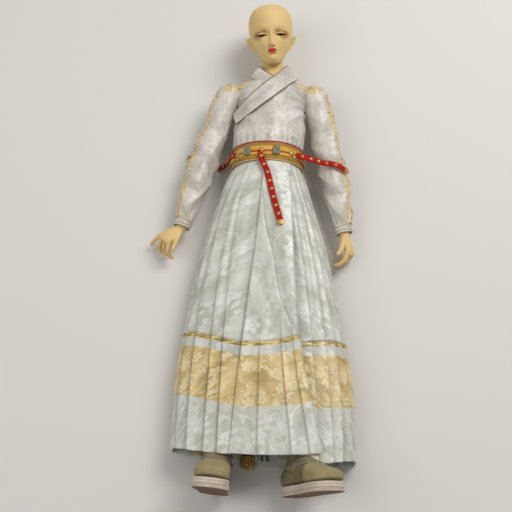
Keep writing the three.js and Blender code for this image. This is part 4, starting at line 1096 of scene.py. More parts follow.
def face_relief(x, y):
    """How far the face stands forward of the plain egg, as a sum of bells for its features."""
    side = np.abs(x)
    on_nose = np.clip(y, NOSE_LINE[0][0], NOSE_LINE[-1][0])
    nose = profile(on_nose, NOSE_LINE) * hill(x, 0, profile(on_nose, NOSE_WIDTH))
    wings = 2.5 * hill(side, 3.4, 1.7) * hill(y, 22.3, 2.0)
    nostrils = -1.5 * hill(side, 1.9, 0.8) * hill(y, 20.5, 0.7)
    sockets = -3.2 * hill(side, 12.5, 8.0) * hill(y, 38.0, 6.0)
    inner_corners = -1.4 * hill(side, 6.0, 3.4) * hill(y, 38.5, 5.0)
    brow = 1.2 * hill(side, 12.0, 10.0) * hill(y, 46.5, 4.2)
    mound = 1.5 * hill(x, 0, 9.0) * hill(y, LIP_LINE, 6.0)
    bow = 0.5 * hill(side, 1.8, 1.4) - 0.35 * hill(x, 0, 0.8)
    upper = 2.1 * hill(x, 0, 4.2) * hill(y, LIP_LINE + 1.7 + bow, 1.3)
    lower = 2.5 * hill(x, 0, 3.6) * hill(y, LIP_LINE - 2.1, 1.6)
    parting = -1.8 * hill(y, LIP_LINE - 0.3 * hill(x, 0, 2.0), 0.5) * ease(side, 5.8, 4.6)
    corners = -0.9 * hill(side, 5.8, 1.2) * hill(y, LIP_LINE - 0.2, 1.2)
    philtrum = -0.55 * hill(x, 0, 1.2) * hill(y, 18.6, 1.1)
    under_lip = -1.4 * hill(x, 0, 5.0) * hill(y, 9.8, 1.7)
    chin = 2.2 * hill(x, 0, 6.5) * hill(y, 4.5, 4.5)
    cheek = 1.1 * hill(side, 15.5, 8.0) * hill(y, 26.0, 7.0) - 0.7 * hill(side, 18, 6.0) * hill(y, 14, 7.0)
    eyes = sockets + inner_corners + brow
    mouth = mound + upper + lower + parting + corners + philtrum + under_lip
    return nose + wings + nostrils + eyes + mouth + chin + cheek


def eye_lens(x):
    """1 in the middle of an eye's opening and 0 at its corners."""
    return np.clip(1 - ((np.abs(x) - EYE_X) / EYE_HALF) ** 2, 0, 1)


def head_grid():
    """The head as rows from chin to crown by columns round it, in the head's frame, with its paint.

    Each row is an oval. The two rows at the lid line part over the eyes, and two more between them
    run in behind the lids, so the half-closed eyes are true openings over the eyeballs.
    """
    opening = sizes()["eye_opening"]
    cap = np.linspace(0, 1, 8)[1:-1]
    lid_rise = (LID_LINE - HEAD_BASE) / (HEAD_TOP - HEAD_BASE)
    below = np.linspace(0, lid_rise, 112)
    above = np.linspace(lid_rise, CROWN_START, 44)
    crown = CROWN_START + (1 - CROWN_START) * np.sin(np.linspace(0, math.pi / 2, 46))[1:]
    rise = np.concatenate([[0], 0 * cap, below, [lid_rise, lid_rise], above, crown])
    shrink = np.concatenate([[0], cap, np.ones(len(rise) - 1 - len(cap))])
    lid_row = len(cap) + 1 + len(below)
    row = np.arange(len(rise))
    upper = row > lid_row
    pocket = (row == lid_row) | (row == lid_row + 1)
    spread = np.linspace(-1, 1, 281)
    round_head = math.pi * (0.55 * spread + 0.45 * spread**3)
    half, face, nape = (value[:, None] for value in head_section(rise))
    scale = shrink[:, None]
    middle, reach = (face - nape) / 2, (face + nape) / 2
    x = scale * half * np.sin(round_head)
    z = middle + scale * reach * np.cos(round_head)
    chin_round = 2.2 * np.sqrt(1 - scale**2)
    y = (HEAD_BASE + rise * (HEAD_TOP - HEAD_BASE))[:, None] - chin_round + 0 * x
    front = ease(z, 4, 16)
    lens = eye_lens(x) * front
    gap = np.where(upper[:, None], UPPER_LID * lens, -LOWER_LID * lens) * opening
    near = hill(y, LID_LINE, 5.0)
    slant = -0.1 * (np.abs(x) - EYE_X) * hill(np.abs(x), EYE_X, 11.0) * front
    y = y + (gap + slant) * near
    z = z + front * face_relief(x, y)
    reach_eye = (np.abs(x) - EYE_X) ** 2 + (y - EYE_Y) ** 2
    lid = EYE_Z + np.sqrt(np.clip((EYE_RADIUS + LID_SKIN) ** 2 - reach_eye, 0, None))
    lid = lid - 40 * ease(reach_eye, 66, 130)
    z = np.where(front > 0.5, 0.5 * (z + lid + np.sqrt((z - lid) ** 2 + 1.0)), z)
    lid_top = LID_LINE + UPPER_LID * opening * eye_lens(x) + slant
    z = z - 0.55 * front * hill(y, lid_top + 3.6, 0.7) * ease(eye_lens(x), 0.02, 0.3)
    z = z - np.where(pocket[:, None], 6.5 * ease(lens, 0.0, 0.25), 0)
    points = grid_of(x, y, z)
    return points, face_paint(x, y, front, lid_top), cap_seam(points)


def face_paint(x, y, front, lid_top):
    """Lips, eye shadow, lash line and brow, each from 0 to 1 by distance from its own curve."""
    side = np.abs(x)
    lip_half = 3.1 * np.sqrt(np.clip(1 - (x / 6.2) ** 2, 0, 1))
    lip_half = lip_half + 0.4 * hill(side, 1.8, 1.1) - 0.3 * hill(x, 0, 0.7)
    lips = ease(lip_half - np.abs(y - LIP_LINE + 0.2), -1.1, 0.8) * ease(side, 6.8, 4.6)
    lid_crease = lid_top + 4.2 + 0.05 * (side - EYE_X)
    crease_line = 0.85 * hill(y, lid_crease, 1.7) * ease(side, 4.5, 9.0) * ease(side, 25.0, 18.0)
    corner = hill(side, 20.5, 4.0) * hill(y, lid_top + 1.0, 3.0)
    lid = 0.2 * hill(y, lid_top + 1.6, 1.8) * hill(side, EYE_X, 9.0)
    under = 0.5 * hill(y, lid_top - 3.2, 1.3) * hill(side, 16, 5)
    shadow = np.clip(crease_line + corner + lid + under, 0, 1)
    flick = ease(side, 22.0, 19.5) * ease(side, 4.8, 6.5)
    lash = ease(np.abs(y - lid_top - 0.1), 0.85, 0.4) * flick
    arch = 47.6 - 0.018 * (side - 11.5) ** 2
    brow = 0.25 * hill(y, arch, 1.0) * ease(side, 4.5, 6.5) * ease(side, 22.0, 18.0)
    return grid_of(lips, shadow, lash, brow) * front[..., None]


def cap_seam(points):
    """Distance from the leaning plane on which the head cap lifts off."""
    lean = math.radians(CAP_LEAN)
    return (points[..., 2] + CAP_BACK) * math.cos(lean) - (points[..., 1] - CAP_RISE) * math.sin(lean)


def ear_grid(side):
    """An ear as a disc and its back: radius r and angle t, with a rolled rim and a hollow bowl.

    Its front edge keeps to the side of the head, which narrows towards the jaw, and its back stands out.
    """
    r = np.linspace(0, 1, 15)[:, None]
    t = full_turn(49)[None]
    back = EAR_DEEP * r * np.cos(t) * (1 + 0.32 * np.sin(t))
    up = EAR_TALL * r * np.sin(t) + 0.8 * r * np.cos(t)
    rim = 1.5 * hill(r, 0.84, 0.12) * ease(np.cos(t - 0.6), -0.75, -0.2)
    bowl = -2.2 * hill(back - 0.5, 0, 2.4) * hill(up + 1.0, 0, 4.4)
    fold = 1.0 * hill(back - 1.8 - 0.1 * up, 0, 1.0) * hill(up, 1.5, 4.0)
    cheek = head_section((EAR_RISE + up - HEAD_BASE) / (HEAD_TOP - HEAD_BASE))[0]
    stand = cheek - 1.6 + 0.5 * (back + EAR_DEEP) * (1 + 0.02 * up)
    front = grid_of(side * (stand + rim + bowl + fold), EAR_RISE + up, -4 - back)
    rear = grid_of(side * (stand - 2.2 * np.sqrt(1 - r**2)), EAR_RISE + up, -4 - back)
    return [front, rear]


def eyeball_grid(side):
    """An eyeball about its own forward axis: polar angle from the pupil by angle round it."""
    polar = np.linspace(0, math.pi, 33)[:, None] + np.zeros((1, 49))
    spin = full_turn(49)[None]
    radius = EYE_RADIUS + 0.35 * hill(polar, 0, 0.5)
    way = grid_of(np.sin(polar) * np.cos(spin), np.sin(polar) * np.sin(spin), np.cos(polar))
    return radius[..., None] * way @ turn(GAZE_DROP, "X").T + [side * EYE_X, EYE_Y, EYE_Z], polar


class DOLL_OT_head(bpy.types.Operator):
    """Sculpt the bald head with its painted face, ears and half-closed eyes"""

    bl_idname = "doll.head"
    bl_label = "Head and eyes"

    def execute(self, context):
        place = head_frame()
        points, colours, seam = head_grid()
        ears = [grid for side in SIDES.values() for grid in ear_grid(side)]
        bare = [np.zeros((*grid.shape[:2], 4)) for grid in ears]
        marks = {
            "face_paint": np.concatenate([part.reshape(-1, 4) for part in [colours, *bare]]),
            "cap_seam": np.concatenate([seam.ravel(), *[cap_seam(grid).ravel() + 50 for grid in ears]]),
        }
        grids = [place.out(grid) for grid in [points, *ears]]
        head = piece("head_sculpt", grids, "painted_resin", "resin", marks)
        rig.ride(head, "skull")
        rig.replaces(head, "head", "head_cap")
        for name, side in SIDES.items():
            grid, polar = eyeball_grid(side)
            ball = piece(f"{name}_eyeball", [place.out(grid)], "eye_glass", "eye", {"polar": polar.ravel()})
            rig.ride(ball, "skull")
            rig.replaces(ball, f"{name}_eye")
        return {"FINISHED"}


# Torso and limbs

NECK_PIVOT, NECK_RADIUS = 240.0, 14.0


def oval_loft(stations, count, columns):
    """Rows of ovals through (y, half width, half depth) stations, closed to a point at both ends."""
    stations = np.asarray(stations, float)
    run = run_along(stations)
    at = np.linspace(0, run[-1], count)
    y, half, deep = (profile(at, np.stack([run, value], 1))[:, None] for value in stations.T)
    spin = full_turn(columns + 1)
    return closed(grid_of(half * np.sin(spin), y, deep * np.cos(spin)))


def torso_grid():
    """Chest, shoulders and neck up to the ball that carries the head."""
    neck_ball = []
    for t in np.linspace(0.05, math.pi / 2, 8):
        ring = NECK_RADIUS * math.cos(t)
        neck_ball.append((NECK_PIVOT + NECK_RADIUS * math.sin(t), ring, ring))
    return oval_loft([
        (107, 36, 25), (132, 38, 28), (159, 39, 30), (177, 43, 30), (190, 45, 27), (200, 34, 21),
        (207, 24, 18.5), (213, 19.5, 17), (222, 16.8, 16), (234, 15.2, 14.8), *neck_ball,
    ], 120, 72)


class DOLL_OT_body(bpy.types.Operator):
    """Smooth the neck and chest, and finish the resin limbs and the hook inside the neck"""

    bl_idname = "doll.body"
    bl_label = "Body"

    def execute(self, context):
        chest = piece("neck_and_chest", [torso_grid()], "resin", "resin")
        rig.ride(chest, "chest")
        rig.replaces(chest, "upper_torso")
        resin_nodes = ["lower_torso"] + [
            f"{side}_{part}"
            for side in SIDES
            for part in ("shoulder_ball", "upper_arm", "forearm", "thigh", "shin", "foot")
        ]
        for name in resin_nodes:
            dress(name, "resin")
        dress("neck_hook", "hook_steel")
        return {"FINISHED"}


def dress(node, finish):
    """Gives a CAD node one of the doll's finishes."""
    mesh = frame["nodes"][node].data
    mesh.materials.clear()
    mesh.materials.append(bpy.data.materials[finish + FINISH])


# Hands

PALM_LENGTH, PALM_HALF = 27.0, 12.0
FINGER_LENGTH, FINGER_RADIUS, THUMB_LENGTH, THUMB_SPLAY = 31.0, 3.2, 24.0, 34
# Degrees of each finger's curl, of the spread between fingers and of the thumb's curl
HAND_CURL = {"right": ((36, 38, 34, 18), 13, 8), "left": ((30, 34, 38, 42), 2, 14)}
FINGER_SHARES = (0.92, 1.0, 0.95, 0.76)


def finger_line(base, reach, splay, curl):
    """A finger's bones, each turned a further step of the curl towards the palm."""
    points = [np.asarray(base, float)]
    bend = curl * 0.25
    for share in (0.44, 0.32, 0.24):
        bend += curl
        lean = math.radians(bend)
        step = unit([math.sin(math.radians(splay)), -math.cos(lean), -math.sin(lean)])
        points.append(points[-1] + step * share * reach)
    return points


def finger_grids(bones, radius):
    """A finger: a tube that narrows to its tip and swells a little at each knuckle, and its nail."""
    line = path_through(bones, 40)
    share = np.linspace(0, 1, 40)
    width = radius * (1 - 0.2 * share - 0.12 * share**3)
    width = width * (1 + 0.05 * hill(share, 0.44, 0.06) + 0.04 * hill(share, 0.76, 0.05))
    line, width = line[:-3], width[:-3]
    tube = ring_tube(line, width, X_AXIS, 20)
    along = unit(line[-1] - line[-4])
    back = unit(np.cross(X_AXIS, along))
    back = back if back[2] > 0 else -back
    nail = half_ball(line[-1] + back * width[-1] * 0.72 - along * 0.6, back, width[-1] * 0.66, 0.75, 12)
    return tube, nail


def palm_grid():
    """The palm from the wrist ball to the knuckles, flatter than it is wide."""
    return oval_loft([
        (4, 6.0, 5.6), (-2, 6.6, 5.6), (-8, 7.6, 5.4), (-16, 10.4, 5.4), (-22, 11.2, 5.0),
        (-27, 11.2, 4.3), (-31, 10, 3.2), (-32.5, 6.6, 1.8),
    ], 40, 40)


class DOLL_OT_hands(bpy.types.Operator):
    """Model the hands: palm, curled fingers and thumb grown together, and nails"""

    bl_idname = "doll.hands"
    bl_label = "Hands"

    def execute(self, context):
        for name, side in SIDES.items():
            curls, spread, thumb_curl = HAND_CURL[name]
            fingers = []
            for i, share in enumerate(FINGER_SHARES):
                place = 1.5 - i
                base = (-side * place * FINGER_RADIUS * 1.84, -PALM_LENGTH + 1, 0.4)
                bones = finger_line(base, FINGER_LENGTH * share, -side * place * spread, curls[i])
                fingers.append(finger_grids(bones, FINGER_RADIUS))
            base = (-side * (PALM_HALF - 3), -PALM_LENGTH * 0.42, -1)
            bones = finger_line(base, THUMB_LENGTH, -side * THUMB_SPLAY, thumb_curl)
            fingers.append(finger_grids(bones, FINGER_RADIUS * 1.1))
            tubes, nails = zip(*fingers)
            heel = np.linspace([-side * 4, -7, -1], [-side * 10.5, -16, -2], 8)
            wrist = np.linspace([0, 3, 0], [0, -2, 0], 6)
            grids = [palm_grid(), *tubes, ring_tube(heel, np.linspace(4.6, 4.2, 8), X_AXIS, 16)]
            grids.append(ring_tube(wrist, 6.9, X_AXIS, 24))
            out = HAND[name].out
            hand = piece(f"{name}_hand_cast", [out(grid) for grid in grids], "resin", "resin")
            grow_together(hand, 0.5, 5)
            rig.ride(hand, f"palm_{name}")
            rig.replaces(hand, f"{name}_hand")
            tips = piece(f"{name}_nails", [out(grid) for grid in nails], "resin", "resin")
            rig.ride(tips, f"palm_{name}")
        return {"FINISHED"}


def grow_together(obj, voxel, rounds):
    """Joins overlapping shells into one skin by voxels, and smooths the joins."""
    remesh = obj.modifiers.new("skin", "REMESH")
    remesh.mode, remesh.voxel_size, remesh.use_smooth_shade = "VOXEL", voxel * MM, True
    soften = obj.modifiers.new("soften", "SMOOTH")
    soften.factor, soften.iterations = 0.5, rounds
    apply_modifiers(obj)


def apply_modifiers(obj):
    """Puts the modifiers' result into the object's own mesh."""
    graph = bpy.context.evaluated_depsgraph_get()
    result = obj.evaluated_get(graph)
    mesh = bpy.data.meshes.new_from_object(result, preserve_all_data_layers=True, depsgraph=graph)
    old = obj.data
    obj.modifiers.clear()
    obj.data = mesh
    if not mesh.materials:
        mesh.materials.append(old.materials[0])
    mesh.polygons.foreach_set("use_smooth", np.ones(len(mesh.polygons), bool))
    bpy.data.meshes.remove(old)


# Robe

SASH_LOW, SASH_HIGH = node_box("sash")
SASH_HALF, SASH_DEEP = (SASH_HIGH - SASH_LOW)[[0, 2]] / 2
SASH_BOTTOM, SASH_TOP = SASH_LOW[1], SASH_HIGH[1]
BELT_LOW, BELT_HIGH = node_box("belt")
BELT_HALF, BELT_DEEP = (BELT_HIGH - BELT_LOW)[[0, 2]] / 2
BELT_Y = (BELT_LOW[1] + BELT_HIGH[1]) / 2
WAIST_HALF, WAIST_DEEP = SASH_HALF - 2.8, SASH_DEEP - 2.8
BODICE_LOW, BODICE_HIGH, ARMPIT_Y = 84, 213, 172
# Height, half width and half depth of the bodice
BODICE = np.array([
    (BODICE_LOW, WAIST_HALF, WAIST_DEEP), (98, WAIST_HALF, WAIST_DEEP), (113, 47.5, 36), (143, 47.5, 36),
    (163, 45.5, 35.2), (179, 48.5, 34), (191, 52.5, 31), (199, 49.5, 27), (204, 41, 23), (208, 30, 21),
    (BODICE_HIGH, 21.5, 19.5),
])
SHOULDER_DOME, DOME_RISE = 19.5, 16.8
# Length down the arm, then the sleeve's reach
SLEEVE_REACH = (
    (0, 19.5), (52, 20), (102, 19.7), (128, 19.6), (152, 17.6), (174, 14.8), (184, 12.2), (189, 11.4),
)
# Degrees from the front to the gold braid along a sleeve, and a distance from it that shows none
TRIM_ANGLE, NO_TRIM = 60, 40.0
WAIST_LEAN = 3.8
# Thickness of collars, cuffs, belt and straps
BAND_THICK = 1.2
# Angle from the front, height and radius of the collars' stand round the neck
COLLAR_STAND = ((176, 228.5, 21.6), (130, 228, 21.8), (92, 226, 22.6), (60, 216.5, 26.5))
# Name, side, lift off the bodice at the neck and at the end, first and last place on the chest, sag, width
COLLARS = (
    ("inner", -1, (0.2, 1.4), (-9.0, 200.0), (-3.0, 193.5), 0.0, 20.0),
    ("outer", 1, (2.5, 2.8), (15.0, 199.0), (-46.5, 145.0), 6.0, 24.0),
)


def lean_shift(y):
    """How far the clothes lie to the doll's right of its middle: most at the waist, none at the shoulders."""
    return -WAIST_LEAN * ease(np.asarray(y, float), 180, 100)


def bodice_size(y):
    """Half width and half depth of the bodice at a height."""
    return [profile(np.clip(y, BODICE_LOW, BODICE_HIGH), BODICE[:, [0, i]]) for i in (1, 2)]


def on_chest(x, y):
    """Height of the bodice's front over the middle plane: an oval's z at x."""
    half, deep = bodice_size(y)
    return deep * np.sqrt(np.clip(1 - ((x - lean_shift(y)) / half) ** 2, 0.02, 1))


def bodice_grid(depth):
    """The bodice: ovals from under the sash to the neck, with creases from the sash and the armpits.

    A crease is 1 - |sin(phase)|, sharp at its crest and round in its valley.
    """
    y = np.linspace(BODICE_LOW, BODICE_HIGH, 130)[:, None]
    spin = np.linspace(-math.pi, math.pi, 281)[None]
    half, deep = bodice_size(y)
    side, facing = np.sin(spin), np.clip(np.cos(spin), 0, 1)
    gathers = np.sin(11 * spin + 2 * np.sin(3 * spin)) * 0.7 + 0.3 * np.sin(29 * spin)
    tucked = hill(y, SASH_TOP + 4, 16) * gathers
    reach = np.hypot(side * half - np.sign(side) * 46, y - ARMPIT_Y)
    fan = np.arctan2(y - ARMPIT_Y, 60 - np.abs(side) * half)
    armpit = hill(reach, 22, 26) * (crest(fan * 7.5) - 0.4) * 1.5
    drape = 1.1 * hill(y, 132, 26) * (crest(y / 13 + 1.9 * side + 0.8 * np.cos(3 * spin)) - 0.4) * facing
    fold = depth * (tucked + armpit + drape) * ease(y, BODICE_LOW, SASH_TOP + 2) * ease(y, 206, 190)
    x = (half + fold) * side + lean_shift(y)
    return grid_of(x, y - 4 * ease(y, 199, BODICE_HIGH) * np.cos(spin), (deep + fold) * np.cos(spin))


def round_neck(degrees, y, radius):
    """A place round the neck at an angle from its front, and the way out of a collar that leans in."""
    s, c = math.sin(math.radians(degrees)), math.cos(math.radians(degrees))
    return np.array([s * radius, y, c * radius]), unit([s, 0.62, c])


def sleeve_swell(outward, forward):
    """The share by which a sleeve stands further out to the outside and back."""
    return 0.16 * (outward - 0.4 * forward - 0.35)


def chest_place(x, y, lift):
    """A place on the chest, lifted off the bodice, and the way out of it."""
    half, deep = bodice_size(y)
    z = on_chest(x, y)
    way = unit([x / half**2, 0.2 / deep * ease(y, 170, 200), z / deep**2])
    return np.array([x, y, z]) + way * lift, way


def collar_grid(side, lifts, start, end, sag, width):
    """A collar band: leans in round the neck like a cone, then lies straight across the chest to its end."""
    places = [round_neck(side * angle, y, radius + lifts[0]) for angle, y, radius in COLLAR_STAND]
    for share in (0, 0.33, 0.66, 1):
        x, y = mix(np.array(start), np.array(end), share)
        places.append(chest_place(x, y - sag * math.sin(math.pi * share), mix(*lifts, share)))
    line, faces = path_through([place for place, _ in places], 140, [way for _, way in places])
    faces = unit(faces)
    grid, share, _, _ = flat_band(line, faces, width / 2, 15)
    crown = 0.9 * (1 - share**2)
    return grid + faces[:, None] * (crown + 0.9)[None, :, None], faces


def sleeve_grid(side, depth):
    """A sleeve in the arm's frame: a dome over the shoulder, then a loose tube to the wrist.

    Its reach grows to the outside and back. Creases run slanted round the arm, deepest at the elbow, and
    puckers run along it into the cuff.
    """
    wrist = -UPPER_ARM_LENGTH - FOREARM_LENGTH + 11
    quarter = np.linspace(0.02, math.pi / 2, 16)
    y = np.concatenate([DOME_RISE * np.cos(quarter), np.linspace(0, wrist, 210)[1:]])[:, None]
    dome = SHOULDER_DOME * np.sqrt(np.clip(1 - (y / DOME_RISE) ** 2, 1e-5, None))
    reach = np.where(y > 0, dome, profile(-np.clip(y, wrist, 0), SLEEVE_REACH))
    spin = full_turn(121)[None]
    loose = 1 + sleeve_swell(side * np.sin(spin), np.cos(spin)) * ease(-y, -12, 20)
    elbow = hill(y, -UPPER_ARM_LENGTH, 30)
    cuff = hill(y, wrist, 16)
    first = crest(y / 13 + 1.5 * np.sin(spin + 0.6) + 0.6 * np.sin(2 * spin + y / 37)) - 0.4
    second = crest(y / 21 - 1.9 * np.sin(spin - 1.1) + 0.7 * np.sin(y / 29)) - 0.4
    fine = np.sin(y / 4.1 + 2.4 * np.cos(spin + y / 50)) * 0.22
    fold = (0.55 + 0.8 * elbow) * first + 0.8 * second + fine * (0.4 + elbow)
    pucker = 0.35 * np.sin(15 * spin + 2 * np.sin(4 * spin)) * cuff
    lap = (spin / (2 * math.pi) + 0.62 + 0.04 * np.sin(y / 30)) % 1.0
    flap = 2.6 * ease(lap, 0.0, 0.035) * ease(lap, 0.3, 0.04) * ease(-y, 95, 125) * ease(y, wrist, wrist + 10)
    radius = reach * loose + depth * (fold * ease(-y, 4, 30) * ease(y, wrist - 1, wrist + 14) + pucker) + flap
    points = grid_of(radius * np.sin(spin), y, radius * np.cos(spin))
    trim = ((np.degrees(spin) * side + 360 - TRIM_ANGLE) % 360) * radius * math.pi / 180
    trim = np.where(trim > math.pi * radius, trim - 2 * math.pi * radius, trim)
    return points, np.where(y > -2, NO_TRIM, trim)


def cuff_grid():
    """A cuff in the forearm's frame: a short band with a turned edge."""
    y = np.linspace(-FOREARM_LENGTH + 12, -FOREARM_LENGTH - 0.6, 16)[:, None]
    spin = full_turn(65)[None]
    roll = 0.5 * hill(y, -FOREARM_LENGTH + 0.2, 1.0) + 0.25 * np.sin(5 * spin + y)
    return grid_of((11.0 + roll) * np.sin(spin), y, (10.2 + roll) * np.cos(spin))


def shoulder_patch(points):
    """Millimetres inside the braid on top of the shoulder, which is a leaf from neck to sleeve."""
    x, y, z = np.abs(points[..., 0]), points[..., 1], points[..., 2]
    share = np.clip((x - 25) / 42, 0, 1)
    half = 10.5 * np.sin(math.pi * (0.06 + 0.88 * share)) ** 0.6
    inside = np.minimum(half - np.abs(y - 203.5 + 15 * share), 21 - np.abs(x - 46))
    return np.where(z > -6, inside, -9)


class DOLL_OT_robe(bpy.types.Operator):
    """Cut the robe: folded bodice, crossed collars with piping, sleeves, cuffs and shoulder braid"""

    bl_idname = "doll.robe"
    bl_label = "Robe"

    def execute(self, context):
        size = sizes()
        waist = joint_centre("waist_bend")
        grid = bodice_grid(size["bodice_fold"])
        patch = shell_mark(shoulder_patch(grid), wrap=True)
        marks = {"trim": np.full(patch.size, NO_TRIM), "patch": patch}
        grids = shell(grid, size["cloth"], wrap=True)
        bodice = piece("bodice_cloth", grids, "robe_satin", "robe_cloth", marks)
        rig.blend(bodice, "pelvis", "chest", to_scene(waist + [0, -8, 0]), to_scene(waist + [0, 22, 0]))
        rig.replaces(bodice, "bodice")
        for name, side, *cut in COLLARS:
            grid, faces = collar_grid(side, *cut)
            grids = shell(grid, BAND_THICK, outward=faces[:, None])
            band = piece(f"{name}_collar_band", grids, "collar_silk", "collar_cloth")
            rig.ride(band, "chest")
            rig.replaces(band, f"{name}_collar")
            edges = [ring_tube(grid[:, column], size["piping"], faces, 8) for column in (0, -1)]
            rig.ride(piece(f"{name}_collar_piping", edges, "dark_piping", "collar_cloth"), "chest")
        for name, side in SIDES.items():
            self.sleeve(name, side, size)
        return {"FINISHED"}

    def sleeve(self, name, side, size):
        """One sleeve with its gold braid, its cuff and the cords round the cuff."""
        grid, trim = sleeve_grid(side, size["sleeve_fold"])
        arm, out = ARM[name].out, FOREARM[name].out
        patch = shell_mark(shoulder_patch(arm(grid)), wrap=True)
        marks = {"trim": shell_mark(trim, wrap=True), "patch": patch}
        grids = [(arm(points), uv) for points, uv in shell(grid, size["cloth"], wrap=True)]
        cloth = piece(f"{name}_sleeve_cloth", grids, "robe_satin", "robe_cloth", marks)
        elbow, along = FOREARM[name].centre, FOREARM[name].axes[1]
        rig.blend(
            cloth, f"arm_{name}", f"forearm_{name}", to_scene(elbow + along * 24), to_scene(elbow - along * 24)
        )
        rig.replaces(cloth, f"{name}_upper_sleeve", f"{name}_lower_sleeve")
        band = cuff_grid()
        grids = [(out(points), uv) for points, uv in shell(band, BAND_THICK, wrap=True)]
        cuff = piece(f"{name}_cuff_band", grids, "collar_silk", "collar_cloth")
        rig.ride(cuff, f"forearm_{name}")
        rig.replaces(cuff, f"{name}_cuff")
        rounds = [out(band[row] * [1.02, 1, 1.02]) for row in (4, 11)]
        stitch = [ring_tube(line, 0.35, along[None], 6, capped=False) for line in rounds]
        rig.ride(piece(f"{name}_cuff_cord", stitch, "gold_cord", "collar_cloth"), f"forearm_{name}")


# Sash and belt

# Places across the belt's front: the middle of the two plaques, each one's offset, and the rosettes
PLAQUE_MIDDLE, PLAQUE_OFFSET = -8, 19
FITTING_PLACES = (-40.0, -8.0, 31.0)


def band_grid(low, high, half, deep, bulge, fold, rows=28):
    """A band round the waist: an oval by its height, bulged between its edges, with faint creases."""
    y = np.linspace(high, low, rows)[:, None]
    spin = full_turn(193)[None]
    share = (y - low) / (high - low)
    swell = bulge * np.sin(math.pi * share) ** 0.6
    swell = swell + fold * np.sin(9 * spin + 5 * share) * np.sin(math.pi * share)
    x = (half + swell) * np.sin(spin) + lean_shift(y)
    return grid_of(x, y, (deep + swell) * np.cos(spin))


def on_belt(x):
    """A place on the belt's front at x from its middle, and the way out of it."""
    lean = math.asin(x / BELT_HALF)
    way = unit([math.sin(lean) / BELT_HALF, 0, math.cos(lean) / BELT_DEEP])
    return np.array([x + float(lean_shift(BELT_Y)), BELT_Y, BELT_DEEP * math.cos(lean)]), way


def plaque_grids(x):
    """A cut-cornered stone: superellipse rings from the middle out, with a carved rosette and a rim."""
    seat, way = on_belt(x)
    across = unit(np.cross(Y_AXIS, way))
    r = np.linspace(0, 1, 26)[:, None]
    t = full_turn(65)[None]
    c, s = np.cos(t), np.sin(t)
    size = r / (np.abs(c) ** 5 + np.abs(s) ** 5) ** 0.2
    wide, tall = 5.0 * size * c, 5.8 * size * s
    petals = 0.5 * hill(r, 0.42, 0.18) * np.cos(4 * t) ** 2
    height = 2.3 + 0.5 * hill(r, 0.84, 0.07) + petals + 0.6 * hill(r, 0, 0.12) - 2.3 * ease(r, 0.95, 1.0)
    flat = seat + way * 0.6 + wide[..., None] * across + tall[..., None] * Y_AXIS
    return [flat + height[..., None] * way, flat]


def ring_grid(centre, way, radius, wire):
    """A closed wire ring lying flat on its seat."""
    side = unit(np.cross(Y_AXIS, way))
    t = full_turn(33)
    line = centre + radius * (np.cos(t)[:, None] * side + np.sin(t)[:, None] * Y_AXIS)
    return ring_tube(line, wire, way[None], 8, capped=False)


def fitting_grids(x):
    """A rosette on the belt: a boss with eight beads round it, and a ring that hangs below."""
    seat, way = on_belt(x)
    side = unit(np.cross(Y_AXIS, way))
    grids = [half_ball(seat + way * 0.4, way, 3.2, 1.8, 12)]
    for t in np.arange(8) * math.pi / 4:
        bead = seat + way * 0.5 + 3.0 * (math.cos(t) * side + math.sin(t) * Y_AXIS)
        grids.append(half_ball(bead, way, 1.3, 1.1, 8))
    return [*grids, ring_grid(seat + way * 1.6 - [0, 6.4, 0], way, 3.0, 0.6)]


class DOLL_OT_sash(bpy.types.Operator):
    """Wrap the brocade sash and belt, and set the jade plaques, rosettes and hanging rings"""

    bl_idname = "doll.sash"
    bl_label = "Sash and belt"

    def execute(self, context):
        grid = band_grid(SASH_BOTTOM, SASH_TOP + 2.5, SASH_HALF - 1.0, SASH_DEEP - 1.0, 1.0, 0.25)
        sash = self.band("sash_band", grid, 1.4, "sash_brocade", "sash_cloth")
        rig.ride(sash, "pelvis")
        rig.replaces(sash, "sash")
        for row, name, finish in ((0, "upper", "red_piping"), (-1, "lower", "gold_cord")):
            edge = ring_tube(grid[row] * [1.01, 1, 1.01], 0.9, Y_AXIS[None], 8, capped=False)
            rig.ride(piece(f"sash_{name}_piping", [edge], finish, "sash_cloth"), "pelvis")
        grid = band_grid(BELT_LOW[1], BELT_HIGH[1], BELT_HALF - 0.3, BELT_DEEP - 0.3, 0.5, 0.1)
        belt = self.band("belt_band", grid, BAND_THICK, "belt_brocade", "belt_cloth")
        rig.ride(belt, "pelvis")
        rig.replaces(belt, "belt")
        for name, side in SIDES.items():
            grids = plaque_grids(PLAQUE_MIDDLE + side * PLAQUE_OFFSET)
            stone = crease(piece(f"{name}_plaque_stone", grids, "jade", "jade"), 40)
            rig.ride(stone, "pelvis")
            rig.replaces(stone, f"{name}_plaque")
        fittings = [grid for x in FITTING_PLACES for grid in fitting_grids(x)]
        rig.ride(piece("belt_fittings", fittings, "gilt", "belt_cloth"), "pelvis")
        return {"FINISHED"}

    def band(self, name, grid, thickness, finish, slot):
        """A band of cloth, marked with each point's rise above the middle of the belt."""
        grids = shell(grid, thickness, wrap=True)
        rise = np.concatenate([points[..., 1].ravel() - BELT_Y for points, _ in grids])
        return piece(name, grids, finish, slot, {"rise": rise})


# Skirt

SKIRT_TOP, SKIRT_LENGTH, FRONT_DROP = 84.0, 382.0, 14.0
FRONT_LENGTH = SKIRT_LENGTH + FRONT_DROP
HEM_HALF, HEM_HEIGHT = 115.0, 70.0
BORDER_SHARE, TUCKED_SHARE = 0.63, 0.0314
SKIRT_SHIFT = 5.0
HEM_DROP = 10.0
FRONT_FOLDS = (0.3, 0.66, 0.86)
BAND_END = 89.0
SIDE_COLUMNS, FRONT_COLUMNS = 320, 170
# Millimetres of run over half a turn of the skirt
HALF_RUN = 330
